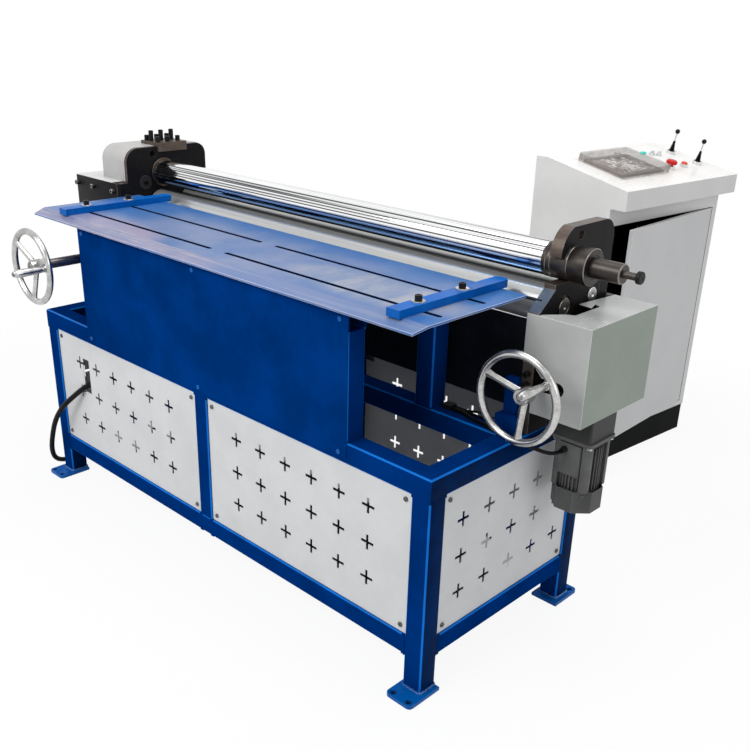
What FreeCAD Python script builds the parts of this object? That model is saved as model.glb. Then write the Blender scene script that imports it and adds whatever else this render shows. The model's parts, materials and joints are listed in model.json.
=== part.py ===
import FreeCAD, Part

import math
import os

from FreeCAD import Placement, Rotation, Vector

# Oval duct rolling machine: a welded stand carries two thick side plates with three rolls, a feed
# table in front of them, a gear case at the left, a geared motor at the right and a desk console
# that stands beside it.
# Lengths are in millimetres. Places are measured from the stand's left end, its front face and the
# floor. save() moves every piece to the origin, the centre of the anchor holes on the floor.

# Stand of square tube
base_length = 1774.0
base_depth = 672.0
base_height = 623.0
tube = 60.0
tube_wall = 4.0
lower_rail_bottom = 103.0
inner_beam_front = 317.0

# Feet and anchor holes
foot_length = 115.0
foot_width = 86.0
foot_thickness = 10.0
foot_corner = 14.0
foot_side_reach = 16.0
foot_front_reach = 55.0
foot_back_reach = 33.0
anchor_hole_d = 18.0
anchor_pitch = 52.5
anchor_front_out = 40.0
anchor_back_out = 13.0

# Perforated panels
panel_thickness = 2.0
panel_recess = 6.0
panel_gap = 0.3
plus_arm = 44.0
plus_width = 8.5
plus_pitch = 105.0
plus_rows = 3
front_columns = 6
side_columns = 5
plus_row_up = 6.0
side_row_up = 0.0
front_column_shift = -8.0
side_column_shift = 12.0
panel_screw_inset = 20.0
panel_screw_head_r = 5.5
panel_screw_head_h = 2.5
panel_screw_r = 2.5
screw_gap = 0.2
tab_side = 38.0
tab_thickness = 4.0
cable_slot_x = 228.0
cable_slot_z = 434.0
cable_slot_width = 38.0
cable_slot_height = 122.0

# Uprights and front cover
upright_left_x = 277.0
upright_right_x = base_length - 337.0
bearer_height = 50.0
bearer_drop = 16.0
packing_depth = 36.0
packing_front = 24.0
cover_thickness = 2.0
cover_bottom = base_height - 45.0
cover_top = base_height + 338.0
cover_low_screw_z = base_height - 31.0
cover_high_screw_z = base_height + 315.0
cover_screw_inset = 26.0
stop_block_height = 49.0
stop_block_inset = 44.0
stop_block_front = 330.0
stop_post_width = 34.0
stop_post_depth = 21.0
stop_post_height = 98.0

# Feed table
table_left = 34.0
table_right = base_length - 49.0
table_top = base_height + 354.0
table_thickness = 6.0
table_crease_y = 20.0
table_rear_y = 385.0
lip_run = 42.0
lip_drop = 12.0
lip_tip_cut = 11.0
slot_width = 14.0
slot_front_y = 90.0
slot_rear_y = 248.0
slot_left_start = 100.0
front_slot_gap = (base_length / 2 - 34.0, base_length / 2 + 30.0)
rear_slot_gap = (base_length / 2 - 3.0, base_length / 2 + 59.0)
slot_right_end = base_length - 72.0

# Guide bars with their clamps
bar_width = 40.0
bar_height = 20.0
bar_length = 408.0
bar_front_y = 4.0
bar_chamfer = 9.0
bar_left_x = 186.0
bar_right_x = base_length - 143.0
slide_gap = 0.2
clamp_bolt_r = 6.0
clamp_head_r = 9.0
clamp_head_h = 13.0
clamp_washer_r = 17.0
clamp_washer_t = 3.0
clamp_nut_r = 11.0
clamp_nut_h = 9.0
bolt_gap = 0.2

# Side plates
plate_thickness = 33.0
plate_top = base_height + 514.0
left_front = 345.0
left_step_front = 312.0
left_step_z = base_height + 398.0
left_back = 684.0
left_front_radius = 50.0
left_back_radius = 40.0
right_front = 371.0
right_shoulder_z = base_height + 319.0
right_ledge_front = 430.0
right_slope_top = base_height + 367.0
right_back = 675.0
right_back_radius = 44.0
hook_tip_y = 439.5
hook_tip_z = base_height + 444.0
hook_top_y = 487.0
hook_bulge_y = 452.0
hook_bulge_drop = 27.0
lifting_hole_r = 11.5
left_lifting_hole = (456.0, plate_top - 24.0)
right_lifting_hole = (520.0, plate_top - 24.0)

# Rolls
front_roll_y = 478.0
front_roll_z = base_height + 315.0
front_roll_r = 50.0
front_roll_left = 38.0
front_roll_right_gap = 3.0
front_journal_r = 24.0
top_roll_r = 43.0
top_roll_left = 40.5
top_roll_right = base_length - 79.0
top_collar_r = 44.0
top_collar_length = 26.0
top_journal_r = 28.0
stub_r = 25.0
stub_end = base_length + 141.0
spindle_r = 9.0
spindle_end = base_length + 176.0
end_disc_r = 15.5
end_disc_length = 12.0
rear_roll_y = 600.0
rear_roll_z = base_height + 325.0
rear_roll_r = 43.0
rear_roll_left = 50.0
rear_roll_right = base_length - 84.0
rear_journal_r = 20.0
running_fit = 0.05
key_fit = 0.05

# Gears between the rolls, in the case at the left
gear_module = 5.0
front_gear_teeth = 24
top_gear_teeth = 20
idler_teeth = 28
pinion_teeth = 20
gear_width = 30.0
gear_right_x = -45.0
pressure_angle = 20.0
gear_backlash = 0.9
mesh_gap = 0.3
top_roll_lean = 8.9
gear_hub_gap = 4.0
drive_shaft_r = 15.0
idler_pin_r = 15.0

# Bushes
front_bush_r = 31.7
top_bush_r = 38.0
top_flange_r = 50.0
top_flange_t = 6.0
drive_bush_r = 22.0
bush_recess = 6.0

# Release sleeve on the top roll's right journal
sleeve_r = 44.5
sleeve_left = base_length - 53.0
sleeve_length = 112.0
sleeve_rim_r = 46.5
sleeve_rim_length = 15.0
sleeve_travel = 60.0
seat_gap = 0.3

# Rear roll lift
lift_travel = 30.0
block_half_width = 35.0
block_above = 35.0
block_below = 55.0
block_gap = 0.3
arm_thickness = 12.0
arm_half_width = 20.0
arm_reach = 26.0
jack_screw_r = 8.0
jack_screw_out = 12.5
jack_screw_tail = 37.0
jack_housing_half = 30.0
jack_housing_out = 60.0
housing_bore_gap = 0.3

# Handwheels
wheel_r = 110.0
wheel_rim_r = 10.0
wheel_hub_r = 21.0
wheel_hub_length = 40.0
right_wheel_dish = 30.0
left_wheel_dish = 14.0
spoke_r_hub = 10.0
spoke_r_rim = 8.0
crank_radius = 97.0
crank_pin_r = 5.0
crank_length = 98.0
crank_grip_gap = 0.4
crank_boss_r = 11.0
right_wheel_x = base_length + 31.0
right_wheel_y = 265.0
right_wheel_z = base_height + 139.0
right_wheel_angle = 36.0
right_shaft_r = 10.0
right_shaft_end = 625.0
left_wheel_x = 246.0
left_wheel_y = -150.0
left_wheel_z = base_height + 222.0
left_wheel_angle = 24.0
left_crank_angle = 8.0
left_shaft_r = 15.0
left_shaft_end = 640.0
cross_shaft_r = 10.0
cross_shaft_gap = 1.0
cross_shaft_y = 619.0
worm_box_half = 30.0
worm_box_margin = 6.0
shelf_thickness = 10.0
bearing_block_front = 322.0
bearing_block_length = 50.0
bearing_block_half = 24.0

# Bed plate and table tie rod
bed_front = 440.0
bed_thickness = 12.0
bed_bottom = base_height + 29.0
bed_top = base_height + 271.0
tie_rod_r = 4.0
tie_rod_y = 403.0
tie_rod_z = base_height + 341.5
shaft_hole_gap = 4.0

# Gear case at the left
middle_plate_right = -113.0
middle_plate_thickness = 20.0
outer_plate_left = -241.0
outer_plate_thickness = 25.0
outer_plate_bottom = base_height + 257.0
case_bottom = base_height + 17.0
case_top = base_height + 400.0
tie_plate_thickness = 12.0
tie_plate_front = 300.0
deck_thickness = 2.0
deck_opening_front = 400.0
deck_opening_back = 570.0
deck_opening_left = -108.0
gear_cover_left = -122.0
gear_cover_right = 20.0
gear_cover_t = 2.0

# Clamp plate and socket cap screws
clamp_plate_left = -64.0
clamp_plate_right = 45.0
clamp_plate_front = 473.0
clamp_plate_depth = 122.0
clamp_plate_t = 13.0
clamp_lip_drop = 18.0
cap_head_r = 8.5
cap_head_h = 12.0
clamp_screw_up = 18.0
tall_screw_up = 36.0
cap_shank_r = 5.0
cap_shank_in = 16.0
cap_socket_r = 4.5
cap_socket_depth = 5.0
tie_screw_z = base_height + 373.0
tie_screw_inset = 25.0
edge_screw_z = (base_height + 133.0, base_height + 161.0)
plug_disc = (417.0, base_height + 394.0)
plug_disc_r = 25.0
plug_disc_t = 3.0

# Right cover box
box_right = base_length + 149.0
box_back = 675.0
box_top = base_height + 316.0
box_bottom = base_height + 63.0
box_sheet = 2.0
box_notch_z = base_height + 192.0
box_notch = ((-1.0, 183.0), (5.0, 183.0), (25.0, 163.0), (25.0, 139.0), (3.0, 119.0), (-1.0, 119.0))
box_slot_left = base_length + 13.5
box_slot_right = base_length + 92.0
box_slot_z = base_height + 145.0
box_slot_half = 17.5

# Gearbox and motor
motor_x = base_length + 89.0
motor_y = 496.0
gearbox_left = base_length + 34.0
gearbox_half = 59.0
gearbox_bottom = base_height - 3.0
gearbox_top = base_height + 113.0
gearbox_neck_r = 44.0
motor_flange_half = 60.0
motor_flange_t = 9.0
motor_core_r = 46.0
motor_fin_r = 54.0
motor_fin_t = 2.6
motor_fins = 32
motor_corner_half = 53.0
motor_corner_side = 20.0
motor_corner_r = 12.0
motor_bottom = base_height - 161.0
terminal_half = 30.0
terminal_out = 59.0
terminal_top = base_height - 17.0
terminal_bottom = base_height - 103.0
fan_cover_flat = 61.0
fan_cover_top = base_height - 145.0
fan_cover_bottom = base_height - 206.0
fan_cover_wall = 2.0
fan_slot_width = 5.0
rotor_shaft_r = 8.0
rotor_top = base_height - 103.0
fan_hub_r = 16.0
fan_r = 48.0
fan_blades = 7
fan_blade_t = 2.5
fan_floor_gap = 8.0
cover_seat_gap = 1.0
fan_height = 26.0
gland_r = 9.0
gland_length = 16.0
gland_x = base_length + 74.0
gland_z = base_height - 35.0

# Motor cable and the small cables on the inner beam
frame_cable_r = 5.0
beam_cable_r = 3.5
connector_right = base_length - 235.0
connector_length = 30.0
connector_width = 30.0
connector_height = 12.0
junction_top = base_height - 55.0
junction_height = 46.0
junction_length = 88.0
junction_depth = 42.0
terminal_box_x = 290.0
terminal_box_width = 90.0
terminal_box_depth = 112.0
terminal_box_bottom = 400.0
terminal_box_height = 100.0
entry_gland_r = 13.0
entry_gland_length = 26.0

# Mains cable
mains_r = 9.0
coil_radius = 100.0
coil_loops = 2
coil_gap = 1.2
coil_centre = (150.0, base_depth + 228.0)
tail_straight = 50.0
tail_drop_run = 120.0
plug_r = 24.0
plug_flange_r = 29.0
plug_grip_length = 26.0
plug_body_length = 60.0
plug_flange_length = 8.0
plug_sleeve_length = 36.0
plug_pin_r = 3.0
plug_pins = 4
plug_pin_circle = 12.0

# Console
console_x = base_length - 430.7
console_y = base_depth + 726.9
console_turn = 84.56
console_width = 690.0
console_depth = 341.0
console_sheet = 2.0
plinth_height = 111.0
plinth_inset = 3.0
desk_overhang = 61.0
desk_under = 1000.0
desk_front_top = 1067.0
desk_back_top = 1137.0
desk_crease = 288.0
door_left = 37.0
door_right = 656.0
door_bottom = 135.0
door_top = 935.0
door_gap = 3.0
door_edge = 15.0
door_hinge_r = 5.0
door_pin_r = 2.5
door_pin_gap = 0.3
door_ajar = 7.0
screen_u = 108.0
screen_w = 108.0
screen_length = 250.0
screen_depth = 176.0
screen_height = 9.0
lid_u = 93.0
lid_w = 93.0
lid_length = 282.0
lid_depth = 207.0
lid_height = 30.0
lid_wall = 3.0
lid_gap = 0.3
lid_pin_r = 2.0
lid_pin_back = 4.6
lid_pin_up = 5.0
lid_ear = 8.0
lid_ear_r = 4.0
indicator_place = (469.0, 282.0)
indicator_size = (26.0, 14.0, 9.0)
selector_left_place = (500.0, 262.0)
selector_right_place = (528.0, 250.0)
joystick_left_place = (console_width - 74.0, 255.0)
joystick_right_place = (console_width - 77.0, 133.0)
stop_place = (424.0, 126.0)
push_place = (513.0, 126.0)
button_gap = 0.3
bezel_r = 15.0
bezel_h = 12.0
selector_knob_r = 8.0
selector_knob_h = 17.0
stop_stem_r = 9.0
stop_cap_r = 20.0
stop_cap_h = 14.0
stop_travel = 5.0
push_r = 11.0
push_travel = 4.0
push_height = 6.0
stick_ball_r = 10.0
stick_ring_r = 18.0
stick_ring_h = 12.0
stick_ring_bore = 13.5
stick_boot_height = 36.0
stick_boot_r = 9.5
stick_rod_r = 3.0
stick_length = 75.0
stick_knob_r = 9.0

# Places worked out from the sizes above
anchor_spacing_y = base_depth + anchor_front_out + anchor_back_out
to_origin = Vector(-base_length / 2, anchor_front_out - anchor_spacing_y / 2, 0)
ring_bottom = base_height - tube
rail_top = lower_rail_bottom + tube
mid_x = base_length / 2
left_plate_x = 0.0
right_plate_x = base_length - plate_thickness
table_under = table_top - table_thickness
lip_slope = lip_drop / lip_run
front_gear_r = gear_module * front_gear_teeth / 2
top_gear_r = gear_module * top_gear_teeth / 2
idler_r = gear_module * idler_teeth / 2
pinion_r = gear_module * pinion_teeth / 2
roll_distance = front_gear_r + top_gear_r + mesh_gap
top_roll_y = front_roll_y + roll_distance * math.sin(math.radians(top_roll_lean))
top_roll_z = front_roll_z + roll_distance * math.cos(math.radians(top_roll_lean))
idler_z = front_roll_z - front_gear_r - idler_r - mesh_gap
drive_z = idler_z - idler_r - pinion_r - mesh_gap
gear_left_x = gear_right_x - gear_width
shaft_left_x = gear_left_x - gear_hub_gap
front_roll_right = right_plate_x - front_roll_right_gap
block_bottom = rear_roll_z - block_below
cross_shaft_z = left_wheel_z - left_shaft_r - cross_shaft_r - cross_shaft_gap
coil_start_z = mains_r + 0.3


def box(x0, x1, y0, y1, z0, z1):
    return Part.makeBox(x1 - x0, y1 - y0, z1 - z0, Vector(x0, y0, z0))


def rod_x(y, z, r, x0, x1):
    return Part.makeCylinder(r, x1 - x0, Vector(x0, y, z), Vector(1, 0, 0))


def rod_y(x, z, r, y0, y1):
    return Part.makeCylinder(r, y1 - y0, Vector(x, y0, z), Vector(0, 1, 0))


def rod_z(x, y, r, z0, z1):
    return Part.makeCylinder(r, z1 - z0, Vector(x, y, z0), Vector(0, 0, 1))


def prism(points, direction):
    wire = Part.makePolygon(points + [points[0]])
    return Part.Face(wire).extrude(direction)


def plate_yz(points, x0, x1):
    return prism([Vector(x0, y, z) for y, z in points], Vector(x1 - x0, 0, 0))


def sheet_xy(points, z0, z1):
    return prism([Vector(x, y, z0) for x, y in points], Vector(0, 0, z1 - z0))


def joined(shapes):
    return shapes[0].multiFuse(shapes[1:]).removeSplitter()


def ring(axis_rod, bore_rod):
    return axis_rod.cut(bore_rod)


def save(name, solids):
    if not isinstance(solids, list):
        solids = [solids]
    pieces = []
    for solid in solids:
        pieces += solid.Solids
    group = Part.makeCompound(pieces) if len(pieces) > 1 else pieces[0]
    group.translate(to_origin)
    group.exportStep("parts/" + name + ".step")


# Square tube, open at its ends, with its wall on the four long sides
def tube_along(axis, x0, x1, y0, y1, z0, z1):
    w = tube_wall
    grow = {"x": (0, w, w), "y": (w, 0, w), "z": (w, w, 0)}[axis]
    gx, gy, gz = grow
    bore = box(x0 + gx, x1 - gx, y0 + gy, y1 - gy, z0 + gz, z1 - gz)
    return box(x0, x1, y0, y1, z0, z1).cut(bore)


def cover_screw_places():
    left = upright_left_x + cover_screw_inset
    right = upright_right_x + tube - cover_screw_inset
    return [(x, z) for z in (cover_low_screw_z, cover_high_screw_z) for x in (left, mid_x, right)]


# The top ring's four tubes are cut at 45 degrees where they meet
def top_ring():
    w = tube_wall
    outer = box(0, base_length, 0, base_depth, ring_bottom, base_height)
    opening = box(tube, base_length - tube, tube, base_depth - tube, ring_bottom, base_height)
    hollow = box(w, base_length - w, w, base_depth - w, ring_bottom + w, base_height - w)
    core = box(tube - w, base_length - tube + w, tube - w, base_depth - tube + w,
               ring_bottom + w, base_height - w)
    whole = outer.cut(opening).cut(hollow.cut(core))
    for x, z in cover_screw_places():
        whole = whole.cut(rod_y(x, z, panel_screw_r + screw_gap, -1, 2 * w))
    h = base_depth / 2
    corners = [(0, 0), (base_length, 0), (base_length, base_depth), (0, base_depth)]
    inner = [(h, h), (base_length - h, h), (base_length - h, h), (h, h)]
    sides = []
    for i in range(4):
        j = (i + 1) % 4
        points = [corners[i], corners[j], inner[j]]
        if inner[i] != inner[j]:
            points.append(inner[i])
        sides.append(whole.common(sheet_xy(points, ring_bottom, base_height)))
    return sides


def base_rails():
    low = lower_rail_bottom
    inside_x = base_length - tube
    inside_y = base_depth - tube
    rails = top_ring()
    for y in (0, inside_y):
        rails.append(tube_along("x", tube, inside_x, y, y + tube, low, rail_top))
    for x in (0, inside_x):
        rails.append(tube_along("y", x, x + tube, tube, inside_y, low, rail_top))
    beam_back = inner_beam_front + tube
    rails.append(tube_along("x", tube, inside_x, inner_beam_front, beam_back, ring_bottom, base_height))
    return rails


def base_posts():
    posts = []
    for x in (0, base_length - tube):
        for y in (0, base_depth - tube):
            posts.append(tube_along("z", x, x + tube, y, y + tube, foot_thickness, ring_bottom))
    for y in (0, base_depth - tube):
        x = mid_x - tube / 2
        posts.append(tube_along("z", x, x + tube, y, y + tube, rail_top, ring_bottom))
    return posts


def foot_plates():
    plates = []
    for side in (-1, 1):
        x_out = mid_x + side * (base_length / 2 + foot_side_reach)
        x0 = min(x_out, x_out - side * foot_width)
        for y0 in (-foot_front_reach, base_depth + foot_back_reach - foot_length):
            plate = box(x0, x0 + foot_width, y0, y0 + foot_length, 0, foot_thickness)
            front = y0 < 0
            outer_y = y0 if front else y0 + foot_length
            edges = [e for e in plate.Edges if abs(e.BoundBox.ZLength - foot_thickness) < 0.01
                     and abs(e.BoundBox.YMin - outer_y) < 0.01]
            plate = plate.makeFillet(foot_corner, edges)
            hole_y = -anchor_front_out if front else base_depth + anchor_back_out
            for shift in (-anchor_pitch / 2, anchor_pitch / 2):
                x = x0 + foot_width / 2 + shift
                plate = plate.cut(rod_z(x, hole_y, anchor_hole_d / 2, -1, foot_thickness + 1))
            plates.append(plate)
    return plates


# One panel, made flat with its width along X and its height along Z, front face on Y = 0
def flat_panel(width, height, columns, shift, row_up, slot=None):
    g = panel_gap
    panel = box(g, width - g, 0, panel_thickness, g, height - g)
    cuts = []
    for column in range(columns):
        x = width / 2 + shift + (column - (columns - 1) / 2) * plus_pitch
        for row in range(plus_rows):
            z = height / 2 + row_up + (row - (plus_rows - 1) / 2) * plus_pitch
            if slot and abs(x - slot[0]) < cable_slot_width and abs(z - slot[1]) < plus_pitch / 2:
                continue
            a = plus_arm / 2
            b = plus_width / 2
            cuts.append(box(x - a, x + a, -1, panel_thickness + 1, z - b, z + b))
            cuts.append(box(x - b, x + b, -1, panel_thickness + 1, z - a, z + a))
    for x, z in panel_screw_places(width, height):
        cuts.append(rod_y(x, z, panel_screw_r + screw_gap, -1, panel_thickness + 1))
    if slot:
        w = cable_slot_width / 2
        h = cable_slot_height / 2
        cuts.append(box(slot[0] - w, slot[0] + w, -1, panel_thickness + 1, slot[1] - h, slot[1] + h))
    return panel.cut(cuts)


def panel_screw_places(width, height):
    i = panel_screw_inset
    return [(x, z) for x in (i, width - i) for z in (i, height - i)]


# Screw and weld-on tab behind each corner of a panel, in the panel's own flat frame
def flat_fixings(width, height):
    pieces = []
    for x, z in panel_screw_places(width, height):
        head = rod_y(x, z, panel_screw_head_r, -panel_screw_head_h, 0)
        shank = rod_y(x, z, panel_screw_r, 0, panel_thickness + tab_thickness)
        pieces.append(head.fuse(shank))
        x0 = 0 if x < width / 2 else width - tab_side
        z0 = 0 if z < height / 2 else height - tab_side
        y0 = panel_thickness
        tab = box(x0, x0 + tab_side, y0, y0 + tab_thickness, z0, z0 + tab_side)
        pieces.append(tab.cut(rod_y(x, z, panel_screw_r + screw_gap, y0 - 1, y0 + tab_thickness + 1)))
    return pieces


def panel_bays():
    width = mid_x - 1.5 * tube
    depth = base_depth - 2 * tube
    quarter = [0, 90, 180, 270]
    return {
        "front_left": (width, quarter[0], Vector(tube, panel_recess, rail_top)),
        "front_right": (width, quarter[0], Vector(mid_x + tube / 2, panel_recess, rail_top)),
        "right": (depth, quarter[1], Vector(base_length - panel_recess, tube, rail_top)),
        "left": (depth, quarter[3], Vector(panel_recess, base_depth - tube, rail_top)),
        "back_right": (width, quarter[2], Vector(base_length - tube, base_depth - panel_recess, rail_top)),
        "back_left": (width, quarter[2], Vector(mid_x - tube / 2, base_depth - panel_recess, rail_top)),
    }


def placed(shape, turn, place):
    moved = shape.copy()
    moved.Placement = Placement(place, Rotation(Vector(0, 0, 1), turn))
    return moved


def panel(bay):
    width, turn, place = panel_bays()[bay]
    height = ring_bottom - rail_top
    sideways = bay in ("left", "right")
    columns = side_columns if sideways else front_columns
    shift = side_column_shift if sideways else front_column_shift
    row_up = side_row_up if sideways else plus_row_up
    slot = (cable_slot_x - tube, cable_slot_z - rail_top) if bay == "front_left" else None
    return placed(flat_panel(width, height, columns, shift, row_up, slot), turn, place)


def panel_fixings():
    pieces = []
    height = ring_bottom - rail_top
    for width, turn, place in panel_bays().values():
        for piece in flat_fixings(width, height):
            pieces.append(placed(piece, turn, place))
    for x, z in cover_screw_places():
        head = rod_y(x, z, panel_screw_head_r, -cover_thickness - panel_screw_head_h, -cover_thickness)
        pieces.append(head.fuse(rod_y(x, z, panel_screw_r, -cover_thickness, tube_wall)))
    return pieces


def front_cover():
    right = upright_right_x + tube
    sheet = box(upright_left_x, right, -cover_thickness, 0, cover_bottom, cover_top)
    for x, z in cover_screw_places():
        sheet = sheet.cut(rod_y(x, z, panel_screw_r + screw_gap, -cover_thickness - 1, 1))
    return sheet


# Four uprights, the bearer and packing across the front pair, and the stop in front of the right plate
def table_uprights():
    bearer_top = table_under - bearer_drop
    bearer_bottom = bearer_top - bearer_height
    right = upright_right_x + tube
    pieces = []
    for x in (upright_left_x, upright_right_x):
        pieces.append(tube_along("z", x, x + tube, 0, tube, base_height, bearer_bottom))
        y0 = inner_beam_front
        pieces.append(tube_along("z", x, x + tube, y0, y0 + tube, base_height, table_under))
    bearer = tube_along("x", upright_left_x, right, 0, tube, bearer_bottom, bearer_top)
    for x, z in cover_screw_places():
        bearer = bearer.cut(rod_y(x, z, panel_screw_r + screw_gap, -1, 2 * tube_wall))
    pieces.append(bearer)
    packing_back = packing_front + packing_depth
    pieces.append(box(upright_left_x, right, packing_front, packing_back, bearer_top, table_under))
    x0 = right_plate_x - stop_block_inset
    block_top = base_height + stop_block_height
    pieces.append(box(x0, x0 + tube, stop_block_front, right_front, base_height, block_top))
    post_left = right_plate_x - stop_post_width
    post_front = right_front - stop_post_depth
    post_top = block_top + stop_post_height
    pieces.append(box(post_left, right_plate_x, post_front, right_front, block_top, post_top))
    return pieces


def slot(x0, x1, y):
    r = slot_width / 2
    low = table_under - 1
    high = table_top + 1
    straight = box(x0 + r, x1 - r, y - r, y + r, low, high)
    return joined([straight, rod_z(x0 + r, y, r, low, high), rod_z(x1 - r, y, r, low, high)])


def feed_table():
    lip_front = table_crease_y - lip_run
    outline = [(table_crease_y, table_top), (table_rear_y, table_top), (table_rear_y, table_under),
               (table_crease_y, table_under), (lip_front, table_under - lip_drop),
               (lip_front, table_top - lip_drop)]
    table = plate_yz(outline, table_left, table_right)
    low = table_under - lip_drop - 1
    for edge, side in ((table_left, 1), (table_right, -1)):
        corner = [(edge - side, table_crease_y), (edge, table_crease_y),
                  (edge + side * lip_tip_cut, lip_front), (edge + side * lip_tip_cut, lip_front - 1),
                  (edge - side, lip_front - 1)]
        table = table.cut(sheet_xy(corner, low, table_top + 1))
    table = table.cut(slot(slot_left_start, front_slot_gap[0], slot_front_y))
    table = table.cut(slot(front_slot_gap[1], slot_right_end, slot_front_y))
    table = table.cut(slot(slot_left_start, rear_slot_gap[0], slot_rear_y))
    return table.cut(slot(rear_slot_gap[1], slot_right_end, slot_rear_y))


def guide_bar(x):
    low = table_top + slide_gap
    half = bar_width / 2
    back = bar_front_y + bar_length
    c = bar_chamfer
    outline = [(x - half, bar_front_y), (x + half, bar_front_y), (x + half, back - c),
               (x + half - c, back), (x - half + c, back), (x - half, back - c)]
    bar = sheet_xy(outline, low, low + bar_height)
    for y in (slot_front_y, slot_rear_y):
        bar = bar.cut(rod_z(x, y, clamp_bolt_r + bolt_gap, low - 1, low + bar_height + 1))
    return bar


# Socket screw, washer and nut at each of the two slots
def guide_clamps(x):
    bar_top = table_top + slide_gap + bar_height
    head_low = bar_top + clamp_washer_t
    nut_top = table_under - slide_gap
    pieces = []
    for y in (slot_front_y, slot_rear_y):
        head = rod_z(x, y, clamp_head_r, head_low, head_low + clamp_head_h)
        socket = rod_z(x, y, clamp_head_r / 2, head_low + clamp_head_h / 2, head_low + clamp_head_h)
        shank = rod_z(x, y, clamp_bolt_r, nut_top - clamp_nut_h - 2, head_low)
        pieces.append(head.cut(socket).fuse(shank))
        bore = rod_z(x, y, clamp_bolt_r + bolt_gap, nut_top - clamp_nut_h - 1, head_low + 1)
        pieces.append(rod_z(x, y, clamp_washer_r, bar_top, head_low).cut(bore))
        corners = []
        for k in range(6):
            a = math.radians(60 * k)
            corners.append((x + clamp_nut_r * math.cos(a), y + clamp_nut_r * math.sin(a)))
        pieces.append(sheet_xy(corners, nut_top - clamp_nut_h, nut_top).cut(bore))
    return pieces


# Wires of straight and round stretches in the YZ plane at one X
def line_yz(x, a, b):
    return Part.LineSegment(Vector(x, a[0], a[1]), Vector(x, b[0], b[1])).toShape()


def arc_yz(x, a, mid, b):
    return Part.Arc(Vector(x, a[0], a[1]), Vector(x, mid[0], mid[1]), Vector(x, b[0], b[1])).toShape()


def round_mid(centre, r, degrees):
    a = math.radians(degrees)
    return (centre[0] + r * math.cos(a), centre[1] + r * math.sin(a))


# The left plate's outline, grown outwards by a sheet's thickness for the gear cover
def left_profile(x, bottom, grow=0.0):
    front = left_front - grow
    back = left_back + grow
    top = plate_top + grow
    rf = left_front_radius + grow
    rb = left_back_radius + grow
    fc = (left_front + left_front_radius, plate_top - left_front_radius)
    bc = (left_back - left_back_radius, plate_top - left_back_radius)
    return [line_yz(x, (front, bottom), (front, fc[1])),
            arc_yz(x, (front, fc[1]), round_mid(fc, rf, 135), (fc[0], top)),
            line_yz(x, (fc[0], top), (bc[0], top)),
            arc_yz(x, (bc[0], top), round_mid(bc, rb, 45), (back, bc[1])),
            line_yz(x, (back, bc[1]), (back, bottom)),
            line_yz(x, (back, bottom), (front, bottom))]


def closed_plate(edges, thickness):
    return Part.Face(Part.Wire(edges)).extrude(Vector(thickness, 0, 0))


# Window in which the rear roll's block slides up and down
def block_window(x0):
    g = block_gap
    half = block_half_width + g
    low = block_bottom - lift_travel - g
    high = rear_roll_z + block_above + lift_travel + g
    return box(x0 - 1, x0 + plate_thickness + 1, rear_roll_y - half, rear_roll_y + half, low, high)


def side_plate_left():
    x0 = left_plate_x
    x1 = x0 + plate_thickness
    upper = closed_plate(left_profile(x0, left_step_z), plate_thickness)
    lower = box(x0, x1, left_step_front, left_back, base_height, left_step_z)
    plate = joined([upper, lower])
    cuts = [block_window(x0),
            rod_x(front_roll_y, front_roll_z, front_bush_r, x0 - 1, x1 + 1),
            rod_x(top_roll_y, top_roll_z, top_bush_r, x0 - 1, x1 + 1),
            rod_x(front_roll_y, drive_z, drive_bush_r, x0 - 1, x1 + 1),
            rod_x(cross_shaft_y, cross_shaft_z, cross_shaft_r + housing_bore_gap, x0 - 1, x1 + 1),
            rod_x(left_lifting_hole[0], left_lifting_hole[1], lifting_hole_r, x0 - 1, x1 + 1),
            rod_x(tie_rod_y, tie_rod_z, tie_rod_r + running_fit, x1 - plate_thickness / 2, x1 + 1),
            rod_y(tie_screw_left_x(), tie_screw_z, cap_shank_r + screw_gap, left_step_front - 1,
                  left_step_front + cap_shank_in + 1),
            rod_x(plug_disc[0], plug_disc[1], cap_shank_r + screw_gap, x1 - cap_shank_in, x1 + 1)]
    for x, y, tall in clamp_screw_places():
        if x0 < x < x1:
            cuts.append(rod_z(x, y, cap_shank_r + screw_gap, plate_top - cap_shank_in, plate_top + 1))
    return plate.cut(cuts)


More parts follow.
